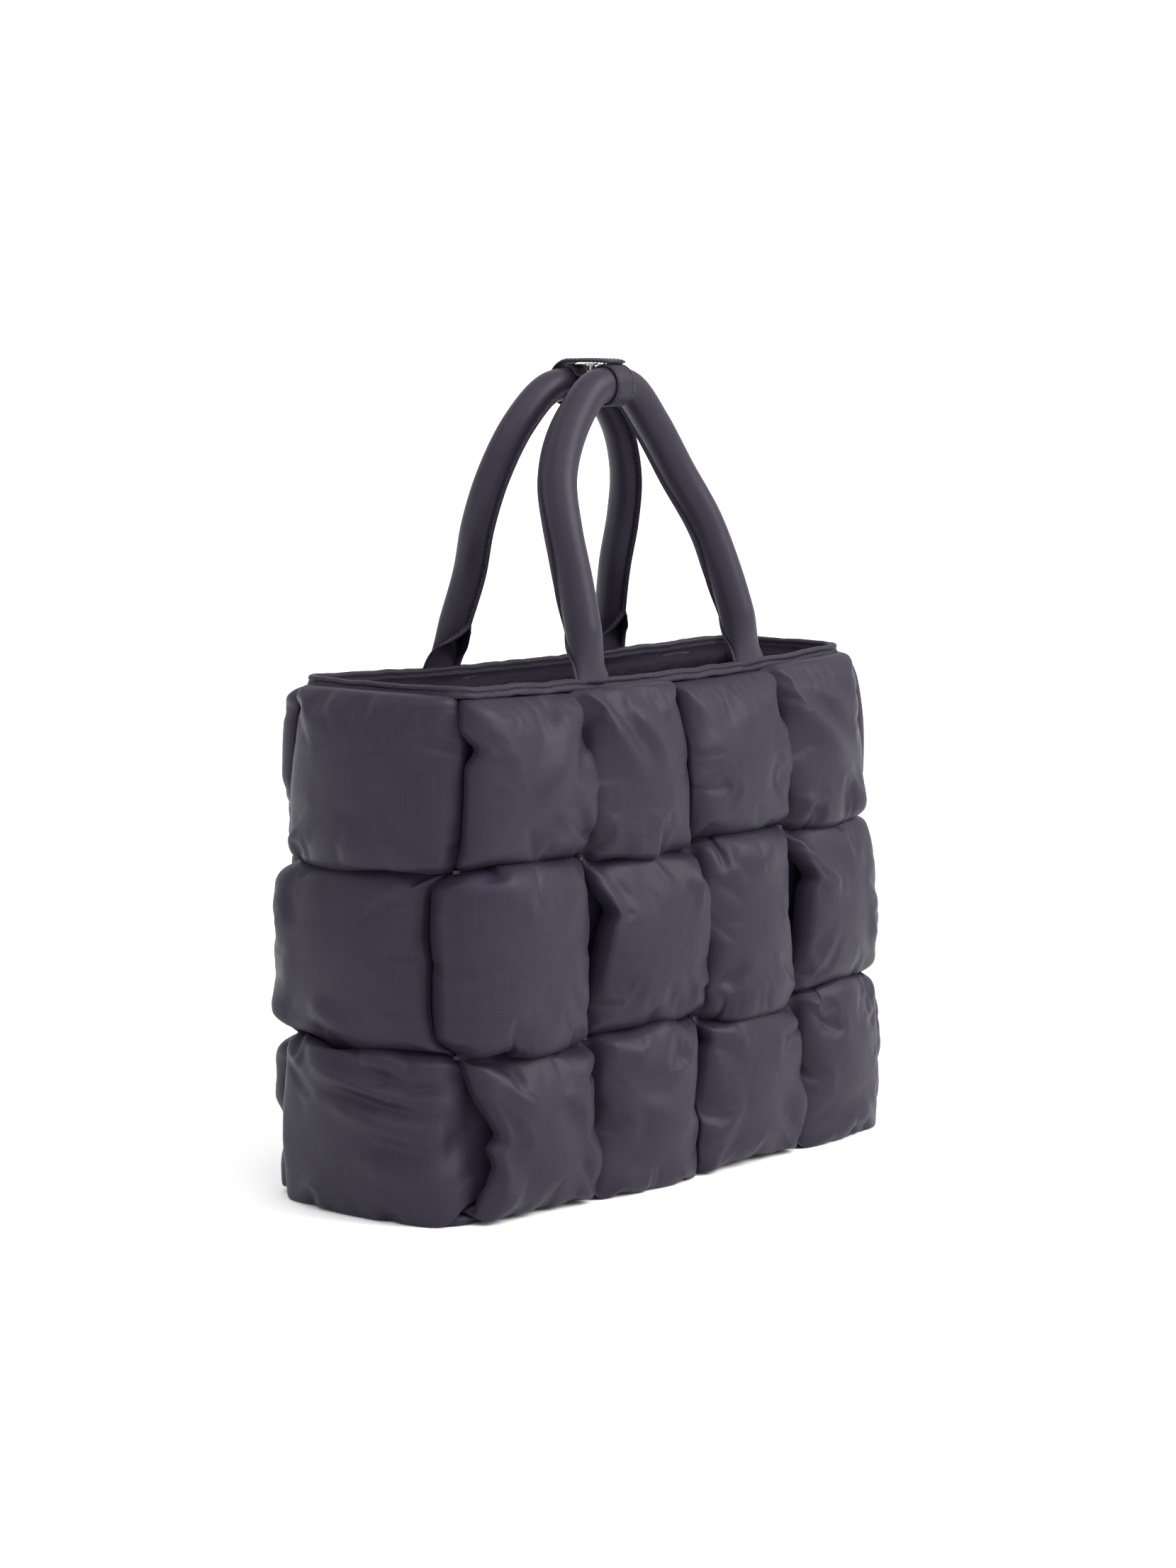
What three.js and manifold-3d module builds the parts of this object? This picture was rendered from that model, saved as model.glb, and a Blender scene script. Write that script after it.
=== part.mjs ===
// Padded tote bag, plain woven from wide quilted nylon strips round a hollow body, with a fabric
// lining, a bound rim and two rolled handles that a snapped keeper strap holds together.
// Millimetres, +Z up. The origin is the middle of the footprint on the floor, the front faces -Y
// and the left end faces -X.
import * as THREE from "three";
import { mergeVertices } from "three/addons/utils/BufferGeometryUtils.js";
import Module from "manifold-3d";

const wasm = await Module();
wasm.setup();

// Body, measured on the core surface, which runs through the middle of the woven wall
const RIM_HEIGHT = 300; // floor to the top of the rim
const RIM_LENGTH = 368;
const RIM_WIDTH_LEFT = 122;
const RIM_WIDTH_RIGHT = 97;
const BASE_LENGTH = 378;
const BASE_WIDTH = 130;
const CORNER_RADIUS = 14;
const BASE_HEIGHT = 10; // floor to the core surface of the base
const WALL_BULGE = 14; // how far the long walls swell in plan
const END_BULGE = 8; // how far the short walls swell in plan
const SWELL_SKEW = 1.4; // above 1, the long walls swell most towards the right
const RIM_SAG = 4; // dip of the rim between its corners

// Padded strips, as heights above or below the core surface
const PILLOW_RISE = 24; // crown of a woven square
const CREASE_RISE = 4; // strip where it dives between two squares
const BASE_CREASE_RISE = 12; // strip where it turns under at the bottom edge
const INSIDE_DEPTH = 8; // padding towards the inside
const CORNER_DEPTH = 2; // middle of the sewn edges where four squares meet
const CORNER_THICKNESS = 3; // strip there
const EDGE_THICKNESS = 1.2; // sewn edge of a strip
const RIM_THICKNESS = 4; // both strips pressed together under the rim band
const EDGE_PULL = 2.5; // how far the sewn edge stays from the middle of a crease
const UNDER_SHARE = 0.3; // share of the padding that the lower strip keeps in mid square
const PILLOW_POWER = 2.5; // squareness of the pillow profile
const TURN_SHARE = 0.7; // share of the bottom row in which the wall turns under
const CREASE_FADE = 0.5; // share of a square in which the bottom edge's fuller crease fades
const GAP = 0.4; // clearance between two pieces that touch

// Rim band and lining
const BAND_HEIGHT = 7;
const BAND_OVERHANG = 0.4; // band outside the strips and inside the lining
const LINING_THICKNESS = 1.3;
const LINING_CLEARANCE = 0.8; // lining inside the padding, below the rim
const LINING_TUCK = 7.5; // how far below the band the lining steps in
const LINING_FOOT = 3.5; // how much further in the lining's bottom corner lies

// Handles: rolled tubes whose ends open into flat tabs sewn into the rim
const HANDLE_DIAMETER = 19;
const HANDLE_SPACING = 150; // between the two feet of one handle
const HANDLE_SHIFT = 6; // the feet sit a little right of the middle
const HANDLE_DRIFT = 8; // both arches bow this far to the left
const HANDLE_RISE = 161; // rim to the middle of the tube at the top
const HANDLE_TOP_GAP = 11; // between the two tubes under the keeper
const TAB_WIDTH = 30;
const TAB_THICKNESS = 2.4;
const TAB_HEIGHT = 32; // rim to where the tab has closed into the tube
const TAB_SQUARENESS = 0.35; // power that squares off the tab's section, 1 being an ellipse
const HANDLE_SIDES = 10;
const HANDLE_STEPS = 25; // sections along the tube between its two tabs

// Keeper strap and its press snap
const KEEPER_WIDTH = 16;
const KEEPER_THICKNESS = 2;
const KEEPER_SLACK = 1; // ease of the strap round the tubes, which curve away inside it
const KEEPER_DIP = 5.7; // lower layer between the tubes, above the middle of the tubes
const KEEPER_TAIL = 4; // flap beyond the middle of the front tube
const SNAP_DIAMETER = 9;
const SNAP_FLANGE = 1;
const SNAP_NECK_SHARE = 0.5; // neck of the snap as a share of its diameter

// Woven layout: one column on each end wall, four on each long wall, three rows of squares
const LONG_COLUMNS = 4;
const ROWS = 3;
const COLUMNS = 2 * LONG_COLUMNS + 2;
const FRONT = 1; // first column on the front wall
const RIGHT = FRONT + LONG_COLUMNS; // the column on the right end wall
const BACK = RIGHT + 1; // first column on the back wall

// Seams down the wall: height as a share of the rim height, swell as a share of the wall bulge
const STRIP_TOP = RIM_HEIGHT - BAND_HEIGHT - GAP;
const SEAMS = [
  { height: STRIP_TOP / RIM_HEIGHT, swell: 0.3 },
  { height: 0.66, swell: 0.85 },
  { height: 0.315, swell: 1.0 },
  { height: BASE_HEIGHT / RIM_HEIGHT, swell: 0.6 },
];

// How far each row puffs out, as a share of the pillow rise, from the rim down
const ROW_PUFF = [0.9, 1.0, 0.95];

// Handle route from a foot to the top, with up as a share of the rise, front and back as shares
// of half the spacing on each handle, lean as the share of the way in to the keeper, and drift
// as a share of the handle drift
const HANDLE_ROUTE = [
  { up: 0.0, front: 1.0, back: 1.0, lean: 0.0, drift: 0.0 },
  { up: 0.19, front: 0.97, back: 0.92, lean: 0.19, drift: 0.05 },
  { up: 0.35, front: 0.93, back: 0.87, lean: 0.37, drift: 0.2 },
  { up: 0.52, front: 0.87, back: 0.87, lean: 0.58, drift: 0.55 },
  { up: 0.69, front: 0.73, back: 0.8, lean: 0.81, drift: 0.95 },
  { up: 0.86, front: 0.5, back: 0.6, lean: 0.94, drift: 0.95 },
  { up: 0.985, front: 0.22, back: 0.28, lean: 0.99, drift: 0.8 },
  { up: 1.0, front: 0.0, back: 0.0, lean: 1.0, drift: 0.7 },
];

// Handle section near a foot: up is a share of the tab height, flat goes from tube 0 to tab 1
const TAB_SECTIONS = [
  { up: 0.0, flat: 1.0 },
  { up: 0.3, flat: 0.92 },
  { up: 0.65, flat: 0.55 },
  { up: 1.0, flat: 0.0 },
];

const lerp = THREE.MathUtils.lerp;
const smoothstep = THREE.MathUtils.smoothstep;

// Stations across one square, as shares of it. The first and last are its borders, where a
// strip dives between squares, and the next ones in are the sewn edges of the crossing strip.
const ROW_HEIGHT = (RIM_HEIGHT - BASE_HEIGHT) / ROWS;
const EDGE = EDGE_PULL / ROW_HEIGHT;
const ACROSS = [EDGE, 0.18, 0.5, 0.82, 1 - EDGE];
const ALONG = [0, ...ACROSS];

function seamValue(row, name) {
  const above = THREE.MathUtils.clamp(Math.floor(row), 0, ROWS - 1);
  return lerp(SEAMS[above][name], SEAMS[above + 1][name], row - above);
}

// Height of the core surface: the top row is counted from the sewn edge under the band
function levelHeight(row) {
  const counted = row < 1 ? (row - EDGE) / (1 - EDGE) : row;
  return seamValue(counted, "height") * RIM_HEIGHT;
}

// The four walls in plan at one level, anticlockwise from the back left corner
function wallsAt(row) {
  const down = row / ROWS;
  const halfLength = lerp(RIM_LENGTH, BASE_LENGTH, down) / 2;
  const halfLeft = lerp(RIM_WIDTH_LEFT, BASE_WIDTH, down) / 2;
  const halfRight = lerp(RIM_WIDTH_RIGHT, BASE_WIDTH, down) / 2;
  const corners = [
    new THREE.Vector2(-halfLength, halfLeft),
    new THREE.Vector2(-halfLength, -halfLeft),
    new THREE.Vector2(halfLength, -halfRight),
    new THREE.Vector2(halfLength, halfRight),
  ];
  const firstColumns = [0, FRONT, RIGHT, BACK];
  const columnCounts = [1, LONG_COLUMNS, 1, LONG_COLUMNS];
  return corners.map((from, i) => ({
    from,
    to: corners[(i + 1) % corners.length],
    first: firstColumns[i],
    count: columnCounts[i],
  }));
}

// Share along a long wall, bent so that its middle lies towards the right end
function skewed(firstColumn, share) {
  if (firstColumn === FRONT) return share ** SWELL_SKEW;
  return 1 - (1 - share) ** SWELL_SKEW;
}

// Plan point at a place round the bag, measured in columns, with rounded corners
function planPoint(column, row) {
  const place = ((column % COLUMNS) + COLUMNS) % COLUMNS;
  const wall = wallsAt(row).findLast((w) => place >= w.first);
  const share = (place - wall.first) / wall.count;
  const run = wall.to.clone().sub(wall.from);
  const length = run.length();
  const direction = run.divideScalar(length);
  const outward = new THREE.Vector2(direction.y, -direction.x);
  const halfArc = (CORNER_RADIUS * Math.PI) / 4;
  const straight = length - 2 * CORNER_RADIUS;
  const walked = share * (straight + 2 * halfArc);
  const turned = Math.min(walked, straight + 2 * halfArc - walked);
  const angle = Math.max(0, (halfArc - turned) / CORNER_RADIUS);
  const atStart = share < 0.5;
  const forward = THREE.MathUtils.clamp(walked - halfArc, 0, straight) + CORNER_RADIUS;
  const swing = (atStart ? -1 : 1) * CORNER_RADIUS * Math.sin(angle);
  const drawn = CORNER_RADIUS * (1 - Math.cos(angle));
  const longWall = wall.count === LONG_COLUMNS;
  const bulge = (longWall ? WALL_BULGE : END_BULGE) * seamValue(row, "swell");
  const leaning = longWall ? skewed(wall.first, share) : share;
  const swell = bulge * Math.sin(Math.PI * leaning);
  const point = wall.from.clone().addScaledVector(direction, forward + swing);
  point.addScaledVector(outward, swell - drawn);
  const dip = longWall ? RIM_SAG * Math.sin(Math.PI * share) * (1 - row / ROWS) : 0;
  return { point, dip };
}

// Outward direction in plan, from the points a little to either side
function planNormal(column, row) {
  const step = 0.02;
  const before = planPoint(column - step, row).point;
  const after = planPoint(column + step, row).point;
  const along = after.sub(before).normalize();
  return new THREE.Vector3(along.y, -along.x, 0);
}

// Core surface of the wall: a point and its outward direction, turning under at the base
function wallCore(column, row) {
  const { point, dip } = planPoint(column, row);
  const tilt = (Math.PI / 4) * smoothstep(row, ROWS - TURN_SHARE, ROWS);
  const normal = planNormal(column, row).multiplyScalar(Math.cos(tilt));
  normal.z = -Math.sin(tilt);
  return { point: new THREE.Vector3(point.x, point.y, levelHeight(row) - dip), normal };
}

// Core surface of the base, spanned between the four bottom edges of the walls
function baseCore(column, share) {
  const u = column / LONG_COLUMNS;
  const edge = (place) => wallCore(place, ROWS);
  const blend = (pick) => {
    const span = new THREE.Vector3();
    span.addScaledVector(pick(edge(FRONT + column)), 1 - share);
    span.addScaledVector(pick(edge(COLUMNS - column)), share);
    span.addScaledVector(pick(edge(FRONT - share)), 1 - u);
    span.addScaledVector(pick(edge(RIGHT + share)), u);
    span.addScaledVector(pick(edge(FRONT)), -(1 - u) * (1 - share));
    span.addScaledVector(pick(edge(RIGHT)), -u * (1 - share));
    span.addScaledVector(pick(edge(COLUMNS)), -(1 - u) * share);
    span.addScaledVector(pick(edge(BACK)), -u * share);
    return span;
  };
  return { point: blend((core) => core.point), normal: blend((core) => core.normal).normalize() };
}

// Pillow profile across a square: 0 at the sewn edges, 1 in the middle
function pillow(share) {
  const inner = THREE.MathUtils.clamp((share - EDGE) / (1 - 2 * EDGE), 0, 1);
  return Math.sqrt(1 - Math.abs(2 * inner - 1) ** PILLOW_POWER);
}

// Outer and inner faces of the weave over one point of a square, as offsets from the core
function envelope({ core, x, y, fromBottomEdge, underBand }, puff) {
  if (underBand) return { outer: RIM_THICKNESS / 2, inner: -RIM_THICKNESS / 2 };
  const ridge = pillow(x) + pillow(y) - pillow(x) * pillow(y);
  const crown = pillow(x) * pillow(y);
  const crease = lerp(BASE_CREASE_RISE, CREASE_RISE, smoothstep(fromBottomEdge, 0, CREASE_FADE));
  const cornerOuter = crease - CREASE_RISE - CORNER_DEPTH + CORNER_THICKNESS / 2;
  const cornerInner = -CORNER_DEPTH - CORNER_THICKNESS / 2;
  const rise = lerp(cornerOuter, crease, ridge) + (puff * PILLOW_RISE - crease) * crown;
  const toFloor = core.normal.z < 0 ? core.point.z / -core.normal.z : Infinity;
  return { outer: Math.min(rise, toFloor), inner: lerp(cornerInner, -INSIDE_DEPTH, ridge) };
}

// Where one strip lies at a point: the whole wall at a border, or its own side of the square
function layer({ outer, inner }, along, across, isOver) {
  if (along === 0 || along === 1) return { top: outer, bottom: inner };
  const acrossOver = isOver ? across : along;
  const acrossUnder = isOver ? along : across;
  const height = pillow(acrossUnder) * (1 - (1 - UNDER_SHARE) * pillow(acrossOver));
  const between = inner + EDGE_THICKNESS + (outer - inner - 2 * EDGE_THICKNESS) * height;
  if (isOver) return { top: outer, bottom: between + GAP / 2 };
  return { top: between - GAP / 2, bottom: inner };
}

function offsetPoint(core, distance) {
  return core.point.clone().addScaledVector(core.normal, distance);
}

// One cross-section of a strip: five points on its top, five on its bottom
function section(cell, along) {
  const points = ACROSS.map((across) => {
    const place = cell.place(along, across);
    const { top, bottom } = layer(envelope(place, cell.puff), along, across, cell.isOver);
    return { top: offsetPoint(place.core, top), bottom: offsetPoint(place.core, bottom) };
  });
  const loop = [...points.map((p) => p.top), ...points.map((p) => p.bottom).reverse()];
  return { loop, mirrored: cell.mirrored };
}

// Square of a wall, walked by a strip. The place function turns its own along and across
// shares into columns and rows.
function wallCell({ column, row, isOver, mirrored = false, toColumn, toRow }) {
  const place = (along, across) => {
    const x = toColumn(along, across);
    const y = toRow(along, across);
    return {
      core: wallCore(column + x, row + y),
      x,
      y,
      fromBottomEdge: ROWS - row - y,
      underBand: row === 0 && y < 2 * EDGE,
    };
  };
  return { place, isOver, mirrored, puff: ROW_PUFF[row] };
}

function baseCell({ column, isOver, toColumn, toShare }) {
  const place = (along, across) => {
    const x = toColumn(along, across);
    const y = toShare(along, across);
    const fromEnd = Math.min(column + x, LONG_COLUMNS - column - x);
    const fromBottomEdge = Math.min(fromEnd, y, 1 - y);
    return { core: baseCore(column + x, y), x, y, fromBottomEdge, underBand: false };
  };
  return { place, isOver, mirrored: false, puff: 1 };
}

// Upright strips cover the ring on every other square of a wall, like a chessboard
const uprightIsOver = (column, row) => (column + row) % 2 === 1;
const longIsOverBase = (column) => column % 2 === 0;

// Ring strip: the squares of one row, all the way round
function ringCells(row) {
  return Array.from({ length: COLUMNS }, (_, column) =>
    wallCell({
      column,
      row,
      isOver: !uprightIsOver(column, row),
      toColumn: (along) => along,
      toRow: (along, across) => across,
    }),
  );
}

// Squares of an upright strip down one wall, and up the opposite one
function downCells(column, mirrored) {
  return Array.from({ length: ROWS }, (_, row) =>
    wallCell({
      column,
      row,
      mirrored,
      isOver: uprightIsOver(column, row),
      toColumn: (along, across) => (mirrored ? 1 - across : across),
      toRow: (along) => along,
    }),
  );
}

function upCells(column, mirrored) {
  return Array.from({ length: ROWS }, (_, i) =>
    wallCell({
      column,
      row: ROWS - 1 - i,
      mirrored,
      isOver: uprightIsOver(column, ROWS - 1 - i),
      toColumn: (along, across) => (mirrored ? across : 1 - across),
      toRow: (along) => 1 - along,
    }),
  );
}

// Cross strip: down the front, under the base and up the back
function crossCells(index) {
  const under = baseCell({
    column: index,
    isOver: !longIsOverBase(index),
    toColumn: (along, across) => across,
    toShare: (along) => along,
  });
  const front = downCells(FRONT + index, false);
  return [...front, under, ...upCells(COLUMNS - 1 - index, false)];
}

// Long strip: down the left end, along the base and up the right end
function longCells() {
  const under = Array.from({ length: LONG_COLUMNS }, (_, column) =>
    baseCell({
      column,
      isOver: longIsOverBase(column),
      toColumn: (along) => along,
      toShare: (along, across) => across,
    }),
  );
  return [...downCells(0, true), ...under, ...upCells(RIGHT, true)];
}

// Indexed geometry from points and triangles, turned so that its faces point out
function solidGeometry(points, triangles) {
  const [a, b, c] = [new THREE.Vector3(), new THREE.Vector3(), new THREE.Vector3()];
  const volume = triangles.reduce((sum, [i, j, k]) => {
    return sum + a.copy(points[i]).dot(b.copy(points[j]).cross(c.copy(points[k])));
  }, 0);
  const turned = volume < 0 ? triangles.map(([i, j, k]) => [i, k, j]) : triangles;
  const geometry = new THREE.BufferGeometry().setFromPoints(points);
  geometry.setIndex(turned.flat());
  geometry.computeVertexNormals();
  return geometry;
}

// Solid through a row of loops with equal counts: closed into a ring, or with flat ends.
// A cap pairs the points across the loop, and a mirrored section turns its diagonals.
function loft(sections, closed) {
  const count = sections[0].loop.length;
  const triangles = [];
  const quad = (p, q, r, s, turned) => {
    if (turned) triangles.push([p, q, s], [q, r, s]);
    else triangles.push([p, q, r], [p, r, s]);
  };
  const last = closed ? sections.length : sections.length - 1;
  for (let i = 0; i < last; i++) {
    const here = i * count;
    const next = ((i + 1) % sections.length) * count;
    for (let k = 0; k < count; k++) {
      const m = (k + 1) % count;
      const lowerFace = k >= count / 2;
      quad(here + k, next + k, next + m, here + m, sections[i].mirrored !== lowerFace);
    }
  }
  if (!closed) {
    const end = (sections.length - 1) * count;
    for (let k = 0; k < count / 2 - 1; k++) {
      quad(k, k + 1, count - 2 - k, count - 1 - k, false);
      quad(end + k + 1, end + k, end + count - 1 - k, end + count - 2 - k, false);
    }
  }
  return solidGeometry(sections.flatMap((s) => s.loop), triangles);
}

function ringGeometry(row) {
  const sections = ringCells(row).flatMap((cell) => ALONG.map((along) => section(cell, along)));
  return loft(sections, true);
}

// Open strip: its two ends are sewn under the rim band, so the outermost borders are left off
function openStripGeometry(cells) {
  const first = cells.at(0);
  const last = cells.at(-1);
  const sections = cells.flatMap((cell) => {
    const stations = cell === first ? ACROSS : ALONG;
    return stations.map((along) => section(cell, along));
  });
  sections.at(-1).mirrored = last.mirrored;
  return loft(sections, false);
}

// Places round the bag, in columns, at every station except the sewn edges
function roundPlaces() {
  const shares = ALONG.filter((share) => share !== EDGE && share !== 1 - EDGE);
  return Array.from({ length: COLUMNS }, (_, column) => shares.map((s) => column + s)).flat();
}

// Lining: an open bag of thin cloth, drawn through a share of the weave's stations
function liningGeometry() {
  const places = roundPlaces();
  const rimOffset = RIM_THICKNESS / 2 + GAP;
  const wallOffset = INSIDE_DEPTH + LINING_CLEARANCE;
  const levels = [
    { row: EDGE, offset: rimOffset },
    { row: LINING_TUCK / ROW_HEIGHT, offset: wallOffset },
    { row: 0.5, offset: wallOffset },
    { row: 1, offset: wallOffset },
    { row: 2, offset: wallOffset },
    { row: ROWS - 0.5, offset: wallOffset },
    { row: ROWS - ACROSS[1], offset: wallOffset },
  ];
  const ringAt = ({ row, offset }, inset) =>
    places.map((place) => offsetPoint(wallCore(place, row), -offset - inset));
  const floorHeight = BASE_HEIGHT + INSIDE_DEPTH + LINING_CLEARANCE;
  const floorRing = (inset) =>
    places.map((place) => {
      const { point } = wallCore(place, ROWS);
      const inwards = -wallOffset - LINING_FOOT - inset;
      const corner = point.clone().addScaledVector(planNormal(place, ROWS), inwards);
      return corner.setZ(floorHeight + inset);
    });
  const wall = (inset) => [...levels.map((level) => ringAt(level, inset)), floorRing(inset)];
  const rings = [...wall(0).reverse(), ...wall(LINING_THICKNESS)];
  const points = rings.flat();
  const count = places.length;
  const triangles = [];
  for (let i = 0; i < rings.length - 1; i++) {
    for (let k = 0; k < count; k++) {
      const m = (k + 1) % count;
      const [p, q] = [i * count + k, i * count + m];
      triangles.push([p, q, q + count], [p, q + count, p + count]);
    }
  }
  const addFloor = (start, height, reversed) => {
    const centre = points.push(new THREE.Vector3(0, 0, height)) - 1;
    for (let k = 0; k < count; k++) {
      const m = (k + 1) % count;
      const pair = reversed ? [start + k, start + m] : [start + m, start + k];
      triangles.push([centre, ...pair]);
    }
  };
  addFloor(0, floorHeight, false);
  addFloor((rings.length - 1) * count, floorHeight + LINING_THICKNESS, true);
  return solidGeometry(points, triangles);
}

const BAND_OUTER = RIM_THICKNESS / 2 + BAND_OVERHANG;
const BAND_INNER = -(RIM_THICKNESS / 2 + GAP + LINING_THICKNESS + BAND_OVERHANG);

// A point of the rim: on the core surface at the strips' top edge, with its dip
function rimCore(column) {
  return wallCore(column, EDGE);
}

// Place round the front or back rim that lies at a given X
function columnAtX(x, firstColumn) {
  let low = firstColumn;
  let high = firstColumn + LONG_COLUMNS;
  const rising = firstColumn === FRONT;
  for (let i = 0; i < 40; i++) {
    const middle = (low + high) / 2;
    const isShort = rimCore(middle).point.x < x;
    if (isShort === rising) low = middle;
    else high = middle;
  }
  return (low + high) / 2;
}

// The four feet of the handles, in the middle of the rim band
const FEET = [FRONT, BACK].map((wall) =>
  [-1, 1].map((side) => {
    const x = HANDLE_SHIFT + (side * HANDLE_SPACING) / 2;
    const core = rimCore(columnAtX(x, wall));
    const foot = offsetPoint(core, (BAND_OUTER + BAND_INNER) / 2);
    return { bottom: foot.setZ(foot.z + GAP), outward: core.normal };
  }),
);

function solidFrom(geometry) {
  const bare = geometry.clone();
  bare.deleteAttribute("normal");
  bare.deleteAttribute("uv");
  const merged = mergeVertices(bare);
  return new wasm.Manifold(
    new wasm.Mesh({
      numProp: 3,
      vertProperties: new Float32Array(merged.attributes.position.array),
      triVerts: new Uint32Array(merged.index.array),
    }),
  );
}

function geometryFrom(solid) {
  const mesh = solid.getMesh();
  const geometry = new THREE.BufferGeometry();
  geometry.setAttribute("position", new THREE.BufferAttribute(mesh.vertProperties, 3));
  geometry.setIndex(new THREE.BufferAttribute(mesh.triVerts, 1));
  return geometry;
}

// Rim band: a ring over the edges of strips and lining, slotted for the four handle tabs
function bandGeometry() {
  const corners = [
    { offset: BAND_OUTER, lift: GAP + BAND_HEIGHT },
    { offset: BAND_INNER, lift: GAP + BAND_HEIGHT },
    { offset: BAND_INNER, lift: GAP },
    { offset: BAND_OUTER, lift: GAP },
  ];
  const sections = roundPlaces().map((place) => {
    const core = rimCore(place);
    const raised = ({ offset, lift }) => offsetPoint(core, offset).add(new THREE.Vector3(0, 0, lift));
    return { loop: corners.map(raised), mirrored: false };
  });
  let band = solidFrom(loft(sections, true));
  FEET.flat().forEach(({ bottom, outward }) => {
    const [width, depth] = [TAB_WIDTH + 2 * GAP, TAB_THICKNESS + 2 * GAP];
    const slot = new THREE.BoxGeometry(width, depth, 4 * BAND_HEIGHT);
    slot.rotateZ(Math.atan2(outward.y, outward.x) + Math.PI / 2);
    slot.translate(bottom.x, bottom.y, bottom.z);
    band = band.subtract(solidFrom(slot));
  });
  return geometryFrom(band);
}

// Half width and half thickness of a handle at a height above its foot
function handleHalfSizes(height) {
  const up = Math.min(height / TAB_HEIGHT, 1);
  const i = Math.min(TAB_SECTIONS.findLastIndex((row) => up >= row.up), TAB_SECTIONS.length - 2);
  const [below, above] = [TAB_SECTIONS[i], TAB_SECTIONS[i + 1]];
  const flat = lerp(below.flat, above.flat, (up - below.up) / (above.up - below.up));
  return {
    width: lerp(HANDLE_DIAMETER, TAB_WIDTH, flat) / 2,
    thickness: lerp(HANDLE_DIAMETER, TAB_THICKNESS, flat) / 2,
    flat,
  };
}

// Section of a handle: round on the tube, squared off on the tab
function handleLoop(centre, wide, thick, { width, thickness, flat }) {
  const power = lerp(1, TAB_SQUARENESS, flat);
  const bend = (value) => Math.sign(value) * Math.abs(value) ** power;
  return Array.from({ length: HANDLE_SIDES }, (_, k) => {
    const angle = (2 * Math.PI * (k + 0.5)) / HANDLE_SIDES;
    const point = centre.clone();
    point.addScaledVector(wide, width * bend(Math.cos(angle)));
    return point.addScaledVector(thick, thickness * bend(Math.sin(angle)));
  });
}

const TOP_HEIGHT = RIM_HEIGHT + HANDLE_RISE;
const TOP_X = HANDLE_SHIFT - HANDLE_ROUTE.at(-1).drift * HANDLE_DRIFT;
const TUBE_OFFSET = (HANDLE_DIAMETER + HANDLE_TOP_GAP) / 2; // tube centre from the bag's middle

// Handle: a leaning arch lofted from tab to tab, with both ends standing in the band's slots
function handleGeometry(feet, which) {
  const side = Math.sign(feet[0].bottom.y);
  const slotDepth = new THREE.Vector3(0, 0, BAND_HEIGHT);
  const [leftTop, rightTop] = feet.map((foot) => foot.bottom.clone().add(slotDepth));
  const summit = new THREE.Vector3(TOP_X, side * TUBE_OFFSET, TOP_HEIGHT);
  const leg = (foot) =>
    HANDLE_ROUTE.map(({ up, lean, drift, [which]: out }) => {
      const x = lerp(HANDLE_SHIFT, foot.x, out) - drift * HANDLE_DRIFT;
      return new THREE.Vector3(x, lerp(foot.y, summit.y, lean), lerp(foot.z, summit.z, up));
    });
  const route = [...leg(leftTop), ...leg(rightTop).reverse().slice(1)];
  const curve = new THREE.CatmullRomCurve3(route, false, "centripetal");
  const plane = rightTop.clone().sub(leftTop).cross(summit.clone().sub(leftTop)).normalize();
  const length = curve.getLength();
  const tabSteps = TAB_SECTIONS.slice(1).map(({ up }) => (up * TAB_HEIGHT) / length);
  const tubeStart = tabSteps.at(-1);
  const tubeSteps = Array.from({ length: HANDLE_STEPS }, (_, i) => {
    return lerp(tubeStart, 1 - tubeStart, (i + 1) / (HANDLE_STEPS + 1));
  });
  const places = [...tabSteps, ...tubeSteps, ...tabSteps.map((share) => 1 - share).reverse()];
  const sections = places.map((share) => {
    const centre = curve.getPointAt(share);
    const wide = curve.getTangentAt(share).cross(plane).normalize();
    const sizes = handleHalfSizes(Math.min(share, 1 - share) * length);
    return { loop: handleLoop(centre, wide, plane, sizes), mirrored: false };
  });
  const standing = ({ outward }, point, rising) => {
    const thick = outward.clone().multiplyScalar(Math.sign(outward.dot(plane)));
    const wide = new THREE.Vector3(0, 0, rising).cross(thick);
    return { loop: handleLoop(point, wide, thick, handleHalfSizes(0)), mirrored: false };
  };
  const start = [standing(feet[0], feet[0].bottom, 1), standing(feet[0], leftTop, 1)];
  const finish = [standing(feet[1], rightTop, -1), standing(feet[1], feet[1].bottom, -1)];
  return loft([...start, ...sections, ...finish], false);
}

// The strap's lower layer and its flap, as radii round the tubes to the middle of the strap
const KEEPER_NEAR = HANDLE_DIAMETER / 2 + KEEPER_SLACK + KEEPER_THICKNESS / 2;
const KEEPER_FAR = KEEPER_NEAR + KEEPER_THICKNESS + GAP;

// Turns round the two tubes, in degrees from the back, from the lower end to the flap
const KEEPER_TURNS = [
  { side: 1, from: 105, to: 125, near: 0, far: 0, steps: 1 },
  { side: 0 },
  { side: -1, from: 55, to: 270, near: 0, far: 0, steps: 9 },
  { side: 1, from: 270, to: 380, near: 0, far: 0, steps: 5 },
  { side: 1, from: 400, to: 450, near: 0.35, far: 1, steps: 2 },
];

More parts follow.
